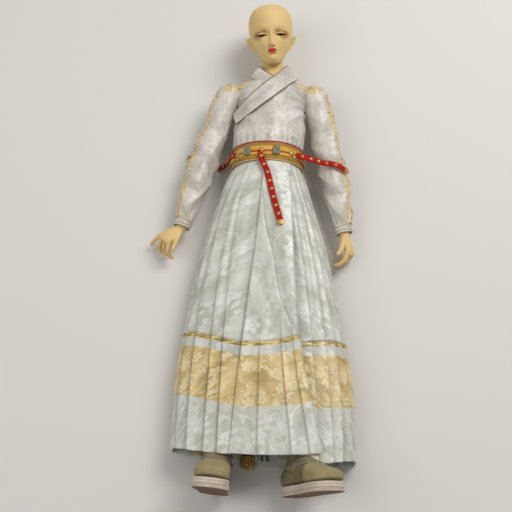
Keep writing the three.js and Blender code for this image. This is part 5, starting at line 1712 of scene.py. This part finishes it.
# Fold lines of each pleated half, in millimetres of run from the middle of the back
PLEAT_LINES = {
    -1: np.array([-40, 0, 44, 84, 120, 152, 182, 212, 240, 272, 290, 322, 350.0]),
    1: np.array([-40, 0, 40, 82, 118, 150, 178, 206, 232, 254, 278, 302, 330, 360.0]),
}
# The slanted drape on the front panel: (share of the fall, place across the panel)
DRAPE_LINE = np.array([
    (0.0, -0.1), (0.1, 0.0), (0.237, 0.19), (0.37, 0.49), (0.49, 0.64), (0.57, 0.8), (0.63, 0.96), (1.0, 1.6),
])
# The free edge and the sewn edge of the flat front panel: (share of the fall, x)
FREE_EDGE = np.array([(0.0, 26.0), (0.3, 31.0), (0.63, 41.0), (1.0, 70.0)])
SEWN_EDGE = np.array([(0.0, -7.0), (0.3, -16.0), (0.63, -29.0), (1.0, -42.0)])


def skirt_frame(share):
    """At a share of the fall: half width, sideways shift, edge, top and bottom heights, and roundness."""
    below = np.clip((share - TUCKED_SHARE) / (1 - TUCKED_SHARE), 0, None)
    half = WAIST_HALF + (HEM_HALF - WAIST_HALF) * np.sin(math.pi / 2 * below**0.8)
    shift = -SKIRT_SHIFT * np.sin(math.pi * (0.27 + 0.73 * np.sqrt(np.minimum(below, 1))))
    settle = ease(below, 0, 0.16)
    edge = mix(0, FLOOR + 4.5, settle)
    top = mix(WAIST_DEEP, FLOOR + HEM_HEIGHT, share)
    bottom = mix(-WAIST_DEEP, FLOOR + 0.5, ease(below, 0, 0.1))
    return below, half, shift, edge, top, bottom, mix(2, 2.8, settle)


def front_height(x, share):
    """Height of the skirt's front at x: a superellipse over the legs."""
    _, half, shift, edge, top, _, power = skirt_frame(share)
    wide = np.clip(np.abs(x - shift) / half, 0, 0.999)
    return edge + (top - edge) * (1 - wide**power) ** (1 / power)


def pleats(run, depth, lines, crisp):
    """Knife pleats between fold lines along a run in millimetres, and the shade in each fold.

    Each pleat stands highest at its own line and sinks towards the next, where it goes under: there the shade
    is deepest. Crisp runs from 0, soft and rounded, to 1, pressed.
    """
    at = np.clip(np.searchsorted(lines, run, side="right") - 1, 0, len(lines) - 2)
    saw = (run - lines[at]) / (lines[at + 1] - lines[at])
    shade = (0.45 + 0.15 * crisp) * ease(saw, 0.25, 1.0) * ease(saw, 1.0, mix(0.8, 0.98, crisp)) ** 0.5
    shade = shade + crisp * 0.35 * hill(saw, 1.0, 0.05)
    soft = 0.5 + 0.5 * np.cos(2 * math.pi * (saw - 0.28))
    return depth * mix(soft, (1 - saw) * ease(saw, 0.0, 0.05), crisp), shade


def below_gold(uv):
    """Millimetres of cloth below the top of the gold line, and that as a share of the band's end."""
    below_line = uv[..., 1] * 100 - BORDER_SHARE * FRONT_LENGTH
    return below_line, np.clip(below_line / BAND_END, 0, 1)


def side_grid(side, share, sink, depth):
    """A pleated half of the skirt, from the middle of the back round to its last edge on the front.

    Also gives the shade of its folds, and each point's fall below the gold line, which rises outwards.
    """
    last_x = profile(share, SEWN_EDGE) + 3 if side < 0 else profile(share, FREE_EDGE) - 22
    below, half, shift, edge, top, bottom, power = skirt_frame(share)
    wide_end = np.clip((last_x - shift) / (side * half), -0.99, 0.99)
    stop = 90 - np.degrees(np.arcsin(np.sign(wide_end) * np.abs(wide_end) ** (power / 2)))
    around = mix(-91.5, stop, np.linspace(0, 1, SIDE_COLUMNS)[None] ** 0.92)
    c, n = np.cos(np.radians(around)), np.sin(np.radians(around))
    wide = np.sign(c) * np.abs(c) ** (2 / power)
    high = np.sign(n) * np.abs(n) ** (2 / power)
    run = (around + 90) / 180 * HALF_RUN
    shown = below**0.5 * ease(n, -0.35, 0.2)
    fold, shade = pleats(run, depth, PLEAT_LINES[side], ease(share, 0.3, 0.75))
    wave = 1.2 * below * np.sin(run / 17 + share * 6) + 1.0 * below * np.sin(run / 31 - share * 10)
    inset = sink * ease(n, 0.1, 0.5) * ease(share, 0.02, 0.14)
    inset = inset + (depth - fold) * shown + wave * ease(n, -0.2, 0.3)
    fall = SKIRT_LENGTH + np.where(n > 0, FRONT_DROP, FRONT_DROP * 0.6) * n * n
    rise = np.where(high > 0, top - edge - inset, edge - bottom)
    drop = (HEM_DROP if side > 0 else 0) * ease(share, 0, 0.5)
    y = SKIRT_TOP - share * fall - drop + 1.6 * shade * shown * share
    points = grid_of(shift + side * (half - np.clip(inset, 0, None)) * wide, y, edge + high * rise)
    uv = grid_of(run * (0.35 + 0.65 * below) / 100, share * fall / 100)
    below_line, near = below_gold(uv)
    outward = np.clip((points[..., 0] - last_x) / (side * half + shift - last_x), 0, 1)
    tilt = 25 * outward - 11 * (1 - near) if side < 0 else 15 * outward + 8 * near
    return points, uv, shade * shown, below_line + tilt


def front_grid(share, lift):
    """The flat front panel between its sewn and free edges, with pressed folds, waves and a slanted drape.

    The drape stands up left of its line and sinks on the right. Also gives shades and falls like side_grid.
    """
    across = np.linspace(0, 1, FRONT_COLUMNS)[None]
    left, right = (profile(share, line) for line in (SEWN_EDGE, FREE_EDGE))
    x = mix(left, right, across)
    below, half, *_ = skirt_frame(share)
    wave = 1.3 * below * np.sin(across * 7 + share * 5) + 0.9 * below * np.sin(across * 13 - share * 6)
    slanted = across - profile(share, DRAPE_LINE)
    fade = ease(share, 0.06, 0.2) * ease(share, 0.78, 0.6)
    drape = fade * ease(slanted, -0.35, -0.05) * ease(slanted, 0.07, -0.05)
    hollow = fade * ease(slanted, -0.04, 0.06) * ease(slanted, 0.5, 0.08)
    pressed = ease(share, 0.45, 0.8)
    folds, shade = 0, 0
    for at in FRONT_FOLDS:
        folds = folds + ease(across, at - 0.004, at + 0.014) * ease(across, at + 0.24, at)
        shade = shade + (hill(across, at - 0.008, 0.014) + 0.5 * ease(across, at - 0.2, at) * (across < at))
    hems = 0.3 * hill(across, 0, 0.012) + 0.4 * hill(across, 1, 0.012)
    shade = pressed * shade * 0.75 + 0.9 * hollow + hems
    turned = 0.8 * (hill(across, 0, 0.02) + hill(across, 1, 0.02))
    z = front_height(x, share) + lift + wave + 2.0 * folds * pressed + 3.2 * drape - 1.5 * hollow - turned
    lean = np.clip(1 - (np.abs(x) / half) ** 2, 0, 1)
    y = SKIRT_TOP - share * (SKIRT_LENGTH + FRONT_DROP * lean)
    uv = grid_of(x / 100 + 3, share * FRONT_LENGTH / 100)
    below_line, near = below_gold(uv)
    below_line = below_line - 10 * (1 - near) * (1 - across**2) + 5 * near * across**3
    return grid_of(x, y, z), uv, np.clip(shade, 0, 1) * below**0.4, below_line


class DOLL_OT_skirt(bpy.types.Operator):
    """Pleat the wrap skirt: two pleated halves and the flat front panel, each with its gold border"""

    bl_idname = "doll.skirt"
    bl_label = "Skirt"

    def execute(self, context):
        depth = sizes()["pleat_depth"]
        self.cut("right", "pleats", "right", lambda share: side_grid(-1, share, 0.6, depth), SIDE_COLUMNS)
        self.cut("left", "pleats", "left", lambda share: side_grid(1, share, 3.0, depth), SIDE_COLUMNS)
        self.cut("front", "panel", "left", lambda share: front_grid(share, 1.2), FRONT_COLUMNS)
        for name in SIDES:
            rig.replaces(bpy.data.objects[f"{name}_skirt_pleats"], f"{name}_skirt_panel")
            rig.replaces(bpy.data.objects[f"{name}_border_pleats"], f"{name}_skirt_border")
        return {"FINISHED"}

    def cut(self, name, kind, leg, make, columns):
        """Cut one width of the skirt in two along the top of its gold line, found in three steps."""
        seam = np.full((1, columns), BORDER_SHARE)
        for _ in range(3):
            seam = seam - make(seam)[3] / FRONT_LENGTH
        upper = mix(0.012, seam, np.linspace(0, 1, 120)[:, None])
        lower = mix(seam, 1.0, np.linspace(0, 1, 110)[:, None])
        self.panel(f"{name}_skirt_{kind}", "skirt", leg, *make(upper))
        self.panel(f"{name}_border_{kind}", "border", leg, *make(lower))

    def panel(self, name, part, leg, grid, uv, shade, fall):
        """One panel of cloth that bends with the hip, or with the knee below the gold line."""
        outward = grid - [0, 0, FLOOR + 10] - grid[:, :, 1:2] * [0, 1, 0]
        grids = shell(grid, sizes()["cloth"], uv, outward=outward)
        # crease carries the painted shade of the pleats and folds, by which the damask finish darkens the cloth
        marks = {"fall": shell_mark(fall), "crease": shell_mark(shade)}
        cloth = piece(name, grids, "skirt_damask", f"{part}_cloth", marks)
        hung_from = "sash" if part == "skirt" else name.replace("border", "skirt")
        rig.sheet(cloth, held="gathered", rests_on=[hung_from], **cut_size(grid))
        hip, knee = LEG[leg].centre, CALF[leg].centre
        if part == "skirt":
            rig.blend(cloth, "pelvis", f"leg_{leg}", to_scene(hip + [0, 6, 0]), to_scene(hip + [0, -58, 0]))
        else:
            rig.blend(
                cloth, f"leg_{leg}", f"calf_{leg}", to_scene(knee + [0, -9, 0]), to_scene(knee + [0, -58, 0])
            )


# Straps and tails

STRAP_HALF, STUD_PITCH = 4.0, 12.0
# Where each strap starts across the belt, and how far it stands off the belt's face
FRONT_STRAP_X, LEFT_STRAP_X, RIGHT_STRAP_X, STRAP_STAND = -9, 37, -42, 0.3
FRONT_STRAP_LENGTH, FRONT_STRAP_SWAY = 102, 24
RIGHT_STRAP_REACH, RIGHT_STRAP_RISE = 63, 23
# Name, place of the start across the back, and x and y of the end
TAILS = (("right", -14.0, (-78.0, -300.0)), ("left", 6.0, (-20.0, -316.0)))
TAIL_HALF, TAIL_ROWS = 8, 160
# The tails lie on the skirt's back, a skirt's thickness above the floor
TAIL_REST = 2.4


def strap_grids(points, faces):
    """A strap along a line: a crowned band of even width, then studs at a pitch and a shaped tip."""
    line, normals = path_through(points, 90, faces)
    normals = unit(normals)
    band, share, along, across = flat_band(line, normals, STRAP_HALF, 11)
    crown = 0.35 * (1 - share**4)
    band = band + normals[:, None] * (1.0 + crown)[None, :, None]
    run = run_along(line)
    gilt = []
    for place in np.arange(STUD_PITCH * 0.7, run[-1] - STUD_PITCH * 0.6, STUD_PITCH):
        i = int(np.searchsorted(run, place))
        gilt.append(half_ball(line[i] + normals[i] * 1.2, normals[i], 2.6, 1.8, 12))
    reach = np.linspace(0, 1, 12)
    half = STRAP_HALF * 1.12 * np.sqrt(np.clip(1 - np.clip(reach - 0.35, 0, None) ** 2 / 0.43, 0, 1))
    seat = line[-1] + along[-1] * (reach * 7 - 4)[:, None] + normals[-1] * 0.4
    face = np.linspace(-1, 1, 9)
    plate = seat[:, None] + across[-1] * (half[:, None] * face)[..., None]
    plate = plate + normals[-1] * (1.7 + 0.5 * (1 - face**2))[None, :, None]
    gilt += [grid for grid, _ in shell(plate, 1.9, outward=normals[-1])]
    return band, normals, gilt


def tail_plate(end, along, across):
    """The gilt end of a tail: a waisted plate with a rounded tip and a scrolled face."""
    reach = np.linspace(0, 1, 16)
    rounded = np.sqrt(np.clip(1 - ((reach - 0.75) / 0.26) ** 2, 0, 1))
    half = 8.6 * (0.8 + 0.25 * np.sin(math.pi * reach)) * np.where(reach > 0.75, rounded, 1)
    face = np.linspace(-1, 1, 15)
    seat = end + along * (reach * 17 - 16)[:, None]
    plate = seat[:, None] + across * (half[:, None] * face)[..., None]
    scroll = 0.5 * np.cos(face * 9)[None] * np.sin(reach * 14)[:, None] + 0.6 * (1 - face**2)[None]
    plate[..., 2] += 2.2 + scroll
    return plate


class DOLL_OT_straps(bpy.types.Operator):
    """Lay the studded red straps and the ribbon tails with their gilt ends"""

    bl_idname = "doll.straps"
    bl_label = "Straps and tails"

    def execute(self, context):
        hip = LEG["left"].centre
        start, way = on_belt(FRONT_STRAP_X)
        seat = start + way * STRAP_STAND
        reach = np.array([0.3, 0.6, 1.0])
        x = FRONT_STRAP_X + FRONT_STRAP_SWAY * reach**1.3
        y = BELT_Y - FRONT_STRAP_LENGTH * reach
        share = (SKIRT_TOP - y) / FRONT_LENGTH
        lying = np.stack([x, y, front_height(x, share) + 1.9], 1)
        up = Z_AXIS
        strap, studs = self.strap("front", [seat, seat + [0, -6.9, 0.6], *lying], [way, way, up, up, up])
        for part in (strap, studs):
            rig.blend(part, "pelvis", "leg_left", to_scene(hip + [0, 6, 0]), to_scene(hip + [0, -58, 0]))
        self.left_strap()
        self.right_strap()
        self.tails()
        return {"FINISHED"}

    def strap(self, name, points, faces):
        """A strap's leather and its gilt studs and tip."""
        band, normals, gilt = strap_grids(points, faces)
        grids = shell(band, BAND_THICK, outward=normals[:, None])
        leather = piece(f"{name}_strap_leather", grids, "red_leather", "red_leather")
        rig.replaces(leather, f"{name}_strap")
        return leather, piece(f"{name}_strap_studs", gilt, "gilt", "red_leather")

    def left_strap(self):
        """The left strap: from the belt, across the gap, over the left sleeve at its elbow."""
        start, way = on_belt(LEFT_STRAP_X)
        elbow = FOREARM["left"].centre
        over, faces = [], []
        for degrees in (-20, 0, 35, 64):
            lean = math.radians(degrees)
            out = np.array([math.sin(lean), 0, math.cos(lean)])
            reach = SHOULDER_DOME * (1 + sleeve_swell(out[0], out[2])) + 4.0
            middle = np.array([elbow[0], BELT_Y - 10 * (0.5 + degrees / 120), elbow[2]])
            over.append(middle + out * reach)
            faces.append(out)
        points = [start + way * STRAP_STAND, mix(start, over[0], 0.6), *over]
        for part in self.strap("left", points, [way, np.array([0.3, 0, 0.95]), *faces]):
            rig.ride(part, "pelvis")

    def right_strap(self):
        """The right strap: down beside the belt, then out along the floor under the sleeve."""
        start, way = on_belt(RIGHT_STRAP_X)
        low = FLOOR + 1.1
        places = [start + way * STRAP_STAND]
        for share, power, height in (
            (0.06, 0.5, mix(low, start[2], 0.72)), (0.14, 0.5, mix(low, start[2], 0.32)),
            (0.3, 0.7, low + 1.4), (0.64, 0.7, low), (1.0, 0.7, low),
        ):
            x = -BELT_HALF - RIGHT_STRAP_REACH * share
            places.append([x, BELT_Y + RIGHT_STRAP_RISE * share**power, height])
        faces = [way, [-1, 0, 0.3], [-0.9, 0, 0.5], [-0.3, 0, 1], Z_AXIS, Z_AXIS]
        for part in self.strap("right", places, faces):
            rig.ride(part, "pelvis")

    def tails(self):
        """The waist tie's two ribbon tails on the skirt's back, with gilt ends at the hem."""
        rest = FLOOR + TAIL_REST
        for name, start_x, tip in TAILS:
            start = np.array([start_x, SASH_BOTTOM - 8, rest + 8])
            low = np.array([mix(start_x, tip[0], 0.12), SASH_BOTTOM - 48, rest])
            end = np.array([*tip, rest])
            line = path_through([start, low, mix(low, end, 0.33), mix(low, end, 0.66), end], TAIL_ROWS)
            grid, share, along, across = flat_band(line, Z_AXIS, TAIL_HALF, 9)
            ripple = 0.35 * np.sin(np.arange(TAIL_ROWS) / 6.0)[:, None] * np.cos(share * 2)[None]
            grid[..., 2] += 0.9 + np.clip(ripple, -0.3, 0.4)
            grids = shell(grid, 0.6, outward=Z_AXIS)
            ribbon = piece(f"{name}_tail_ribbon", grids, "tail_brocade", "tail_cloth")
            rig.ride(ribbon, "pelvis")
            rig.replaces(ribbon, f"{name}_tail")
            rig.sheet(ribbon, held="hung", rests_on=["sash"], **cut_size(grid))
            plate = tail_plate(end, along[-1], across[-1])
            grids = [part for part, _ in shell(plate, 1.4, outward=Z_AXIS)]
            end_cap = piece(f"{name}_tail_end", grids, "gilt", "tail_cloth")
            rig.ride(end_cap, "pelvis")


# Boots

FOOT_LENGTH, FOOT_HALF, FOOT_HEIGHT = 90.0, 17.5, 26.0
HEEL = FOOT_LENGTH * 0.27
BOOT_WALL = 2.3
SOLE_TOP = -FOOT_HEIGHT - BOOT_WALL - 0.3
MIDSOLE_THICK, OUTSOLE_THICK = 7.0, 4.0
# The shaft's start above the ankle and its run down from there
SHAFT_RISE, SHAFT_RUN = 70, 86
# Place along the foot, then shares of half width, underside and top
FOOT_FORM = np.array([
    (0.0, 0.5, -0.84, -0.45), (0.06, 0.72, -1, -0.34), (0.2, 0.84, -1, -0.2), (0.36, 0.82, -1, -0.08),
    (0.55, 0.9, -1, -0.2), (0.75, 1.0, -1, -0.42), (0.91, 0.86, -0.97, -0.6), (1.0, 0.45, -0.88, -0.7),
])


def foot_section(place):
    """Half width, underside and top of the boot's foot at a place along it."""
    wide, low, high = (profile(place, FOOT_FORM[:, [0, i]]) for i in (1, 2, 3))
    return wide * FOOT_HALF + BOOT_WALL, low * FOOT_HEIGHT - BOOT_WALL, high * FOOT_HEIGHT + BOOT_WALL


def vamp_grid():
    """The boot's foot: rings along the foot, round above and square below, drawn in at heel and toe.

    Also gives each point's place along the foot, for the seam of the toe cap.
    """
    place = np.concatenate([[0], 0.5 - 0.5 * np.cos(np.linspace(0.05, math.pi - 0.05, 80)), [1]])
    wide, bottom, top = foot_section(place)
    ends = np.sqrt(np.clip(1 - np.clip((np.abs(place - 0.5) - 0.42) / 0.08, 0, 1) ** 2, 0, 1))
    z = place * FOOT_LENGTH - HEEL + (place - 0.5) * 2 * BOOT_WALL
    t = full_turn(73)
    rise = np.where(np.sin(t) < 0, -np.abs(np.sin(t)) ** 0.25, np.sin(t))
    cap = 0.7 * ease(place, 0.6, 0.615) - 0.7 * ease(place, 0.615, 0.72)
    wrinkle = 0.5 * np.sin(place * 70) * hill(place, 0.5, 0.06)
    grow = (cap + wrinkle)[:, None] * np.clip(np.sin(t) + 0.3, 0, 1)[None]
    half = (wide + 0.8) * mix(0.4, 1, ends)
    reach = (top - bottom) / 2
    x = (half[:, None] + grow) * np.sign(np.cos(t)) * np.abs(np.cos(t)) ** 0.8
    y = bottom[:, None] + (reach[:, None] + grow) * (1 + rise) * mix(0.7, 1, ends)[:, None]
    along = np.concatenate([[place[0]], place, [place[-1]]])[:, None] + 0 * t
    return closed(grid_of(x, y, z[:, None])), along


def sole_outline(lip, count):
    """A sole's outline as six Bezier spans: heel, waist and ball on each side, meeting at heel and toe."""
    half = FOOT_HALF + 2.0 + lip
    heel, toe = -HEEL - 2.0 - lip, FOOT_LENGTH - HEEL + 2.0 + lip
    waist = half * 0.84

    def at(share):
        return mix(heel, toe, share)

    right = [
        [(0, heel), (half * 0.75, heel), (half * 0.9, at(0.12)), (waist, at(0.36))],
        [(waist, at(0.36)), (waist, at(0.5)), (half, at(0.62)), (half, at(0.76))],
        [(half, at(0.76)), (half, at(0.92)), (half * 0.6, toe), (0, toe)],
    ]
    left = [[(-x, z) for x, z in reversed(span)] for span in reversed(right)]
    t = np.linspace(0, 1, count)[:, None]
    powers = np.concatenate([(1 - t) ** 3, 3 * t * (1 - t) ** 2, 3 * t * t * (1 - t), t**3], 1)
    return np.concatenate([(powers @ np.array(span, float))[:-1] for span in right + left])


def slab_grid(lip, top, thickness, groove):
    """A slab of the sole's outline with softened rims and a groove round its wall."""
    outline = sole_outline(lip, 16)
    outline = np.concatenate([outline, outline[:1]])
    middle = outline.mean(axis=0)
    level = np.array([0, 0, 0.06, 0.2, 0.42, 0.5, 0.58, 0.8, 0.94, 1, 1])
    inset = np.array([2.5, 0.5, 0.12, 0, 0, groove, 0, 0, 0.12, 0.5, 2.5])
    away = unit(outline - middle)
    rings = outline[None] - away[None] * inset[:, None, None]
    height = np.broadcast_to((top - level * thickness)[:, None], rings.shape[:2])
    grid = grid_of(rings[..., 0], height, rings[..., 1])
    ends = [np.broadcast_to([middle[0], y, middle[1]], (1, len(outline), 3)) for y in (top, top - thickness)]
    return np.concatenate([ends[0], grid, ends[1]])


def shaft_grid(name, depth):
    """The boot's soft shaft: a tube down the calf that slouches over the ankle and laps over the foot.

    Rings in the calf's frame are mixed into rings in the foot's frame, and the last lies on the foot's form.
    """
    share = np.linspace(0, 1, 130)[:, None]
    spin = full_turn(97)[None]
    s, c = np.sin(spin), np.cos(spin)
    y = -SHIN_LENGTH + SHAFT_RISE - share * SHAFT_RUN
    long = SHIN_LENGTH
    stations = [(0.36 * long, 18.5), (long - 48, 15.5), (long - 22, 12), (long + 20, 12)]
    slack = mix(2.4, 3.6, share)
    folds = crest(y / 5.2 + 0.9 * np.sin(spin * 2) + 0.7 * np.sin(spin + 1)) - 0.5
    slouch = depth * ease(share, 0.5, 0.72) * folds
    slouch = slouch + 0.4 * depth * np.sin(3 * spin + y / 7) * ease(share, 0.5, 0.7)
    slouch = slouch * ease(share, 1.0, 0.92)
    radius = profile(-y, stations) + slack + slouch + 0.7 * hill(share, 0.02, 0.025)
    tube = grid_of(radius * s, y + share * 4 * c, radius * c)
    fall = np.clip((share - 0.6) / 0.4, 0, 1)
    place = mix(0.05, 0.66, (1 + c) / 2)
    wide, bottom, top = foot_section(place)
    lift = bottom + (top - bottom) / 2 * (1 + np.sqrt(np.clip(1 - np.abs(s) ** 2.5, 0, 1))) + 1.5 * c
    on_foot = grid_of((wide + 1.8) * s, lift, place * FOOT_LENGTH - HEEL)
    collar = grid_of(15.6 * s, 14, 14.0 * c - 0.6)
    puff = grid_of(s, 0, c) * (slouch + 0.8 * np.sin(math.pi * fall))[..., None]
    throat = mix(collar, on_foot, fall[..., None]) + puff
    return mix(CALF[name].out(tube), FOOT[name].out(throat), ease(share, 0.56, 0.74)[..., None])


class DOLL_OT_boots(bpy.types.Operator):
    """Make the boots: slouched suede shafts, leather vamps with toe caps, midsoles and outsoles"""

    bl_idname = "doll.boots"
    bl_label = "Boots"

    def execute(self, context):
        fold = sizes()["boot_fold"]
        for name in SIDES:
            calf, foot = CALF[name], FOOT[name]
            grids = shell(shaft_grid(name, fold), 1.6, wrap=True)
            shaft = piece(f"{name}_shaft_suede", grids, "suede", "suede")
            ankle, along = foot.centre, calf.axes[1]
            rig.blend(
                shaft, f"calf_{name}", f"boot_{name}", to_scene(ankle + along * 16), to_scene(ankle - along * 4)
            )
            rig.replaces(shaft, f"{name}_boot_shaft")
            form, along_foot = vamp_grid()
            marks = {"along": along_foot.ravel()}
            vamp = piece(f"{name}_vamp_leather", [foot.out(form)], "toe_leather", "toe_leather", marks)
            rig.replaces(vamp, f"{name}_boot_vamp")
            slab = foot.out(slab_grid(1.5, SOLE_TOP, MIDSOLE_THICK, 0.5))
            midsole = piece(f"{name}_midsole_slab", [slab], "midsole_rubber", "midsole_rubber")
            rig.replaces(midsole, f"{name}_midsole")
            slab = foot.out(slab_grid(1.9, SOLE_TOP - MIDSOLE_THICK - 0.3, OUTSOLE_THICK, 0.3))
            marks = {"under": (np.arange(slab[..., 0].size) >= slab[:-3, :, 0].size).astype(float)}
            outsole = piece(f"{name}_outsole_slab", [slab], "outsole_rubber", "outsole_rubber", marks)
            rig.replaces(outsole, f"{name}_outsole")
            for part in (midsole, outsole):
                crease(part, 50)
            for part in (vamp, midsole, outsole):
                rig.ride(part, f"boot_{name}")
        return {"FINISHED"}


# Finishes, stage and panel


class DOLL_OT_finishes(bpy.types.Operator):
    """Mix the doll's finishes"""

    bl_idname = "doll.finishes"
    bl_label = "Finishes"

    def execute(self, context):
        make_finishes()
        return {"FINISHED"}


# The camera's place and aim from the middle of the hip line, in millimetres, and the floor in metres
CAMERA_OFFSET = np.array([-2.9, -545.4])
CAMERA_AIM = np.array([-16.0, -45.4])
AIM_RISE = 30.0
FLOOR_HALF = 6


class DOLL_OT_stage(bpy.types.Operator):
    """Set the pale floor, the soft lights and the camera"""

    bl_idname = "doll.stage"
    bl_label = "Stage"

    def execute(self, context):
        stage = context.scene.doll_stage
        self.floor()
        self.lights(stage)
        camera = bpy.data.cameras.new("camera")
        camera.sensor_fit, camera.angle = "HORIZONTAL", stage.view_angle
        camera.clip_end = 20
        eye = np.array([*(HIP_MIDDLE[:2] + CAMERA_OFFSET * MM), stage.camera_height])
        aim = np.array([*(HIP_MIDDLE[:2] + CAMERA_AIM * MM), AIM_RISE * MM])
        context.scene.camera = place_looking("camera", camera, eye, aim)
        context.scene.view_settings.view_transform = "Standard"
        return {"FINISHED"}

    def floor(self):
        """A wide floor that the camera sees as a plain pale ground."""
        mesh = bpy.data.meshes.new("floor")
        corners = [(x * FLOOR_HALF, y * FLOOR_HALF, 0) for x, y in ((-1, -1), (1, -1), (1, 1), (-1, 1))]
        mesh.from_pydata(corners, [], [(0, 1, 2, 3)])
        f = Finish("floor_paper", Specular_IOR_Level=0.2)
        grain = f.noise(f.place, 900.0, 2.0)
        f.coat(f.mix(grain, paint("floor", 0.98), paint("floor")), 0.9)
        mesh.materials.append(f.material)
        floor = add_object("floor", mesh)
        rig.stage(floor)

    def lights(self, stage):
        """A soft light beyond the doll's left shoulder, a weaker one across from it, and an even sky."""
        for name, power, size, eye in (
            ("key", stage.key_power, 1.0, (0.9, 0.8, 1.6)),
            ("fill", stage.fill_power, 1.4, (-1.2, -0.3, 1.5)),
        ):
            lamp = bpy.data.lights.new(name, "AREA")
            lamp.energy, lamp.size = power, size
            place_looking(name, lamp, np.array(eye), np.zeros(3))
        world = bpy.data.worlds.new("sky")
        world.use_nodes = True
        light = world.node_tree.nodes["Background"].inputs
        light["Strength"].default_value, light["Color"].default_value = stage.sky, (1, 0.99, 0.97, 1)
        bpy.context.scene.world = world


def place_looking(name, data, eye, aim):
    """A camera or lamp at eye that looks at aim with the frame's Z upwards."""
    obj = add_object(name, data)
    back = unit(eye - aim)
    right = unit(np.cross([0, 0, 1], back))
    up = np.cross(back, right)
    matrix = np.eye(4)
    matrix[:3, 0], matrix[:3, 1], matrix[:3, 2], matrix[:3, 3] = right, up, back, eye
    obj.matrix_world = mathutils.Matrix(matrix.tolist())
    return obj


MAKING = (
    DOLL_OT_finishes, DOLL_OT_stage, DOLL_OT_head, DOLL_OT_body, DOLL_OT_hands, DOLL_OT_robe,
    DOLL_OT_sash, DOLL_OT_skirt, DOLL_OT_straps, DOLL_OT_boots,
)


class DOLL_PT_panel(bpy.types.Panel):
    """The doll's making, step by step, with its sizes and colours"""

    bl_label = "Ball-jointed doll"
    bl_idname = "DOLL_PT_panel"
    bl_space_type = "VIEW_3D"
    bl_region_type = "UI"
    bl_category = "Doll"

    def draw(self, context):
        for step in MAKING:
            self.layout.operator(step.bl_idname)
        for settings in SETTINGS:
            box = self.layout.box()
            group = getattr(context.scene, settings)
            for name in group.bl_rna.properties.keys():
                if name not in ("rna_type", "name"):
                    box.prop(group, name)


SETTINGS = {"doll_sizes": DollSizes, "doll_colours": DollColours, "doll_stage": DollStage}
CLASSES = (*SETTINGS.values(), *MAKING, DOLL_PT_panel)


def register():
    for cls in CLASSES:
        bpy.utils.register_class(cls)
    for name, group in SETTINGS.items():
        setattr(bpy.types.Scene, name, bpy.props.PointerProperty(type=group))


def unregister():
    for name in SETTINGS:
        delattr(bpy.types.Scene, name)
    for cls in reversed(CLASSES):
        bpy.utils.unregister_class(cls)


def main():
    """Registers the add-on, makes every piece in order and writes the two boxes."""
    register()
    for step in MAKING:
        group, name = step.bl_idname.split(".")
        getattr(getattr(bpy.ops, group), name)()
    visual = [[float(value) for value in corner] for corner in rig.bounds()]
    with open("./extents.json", "w") as out:
        json.dump({"cad": CAD_BOX, "visual": visual}, out)


if __name__ == "__main__":
    main()
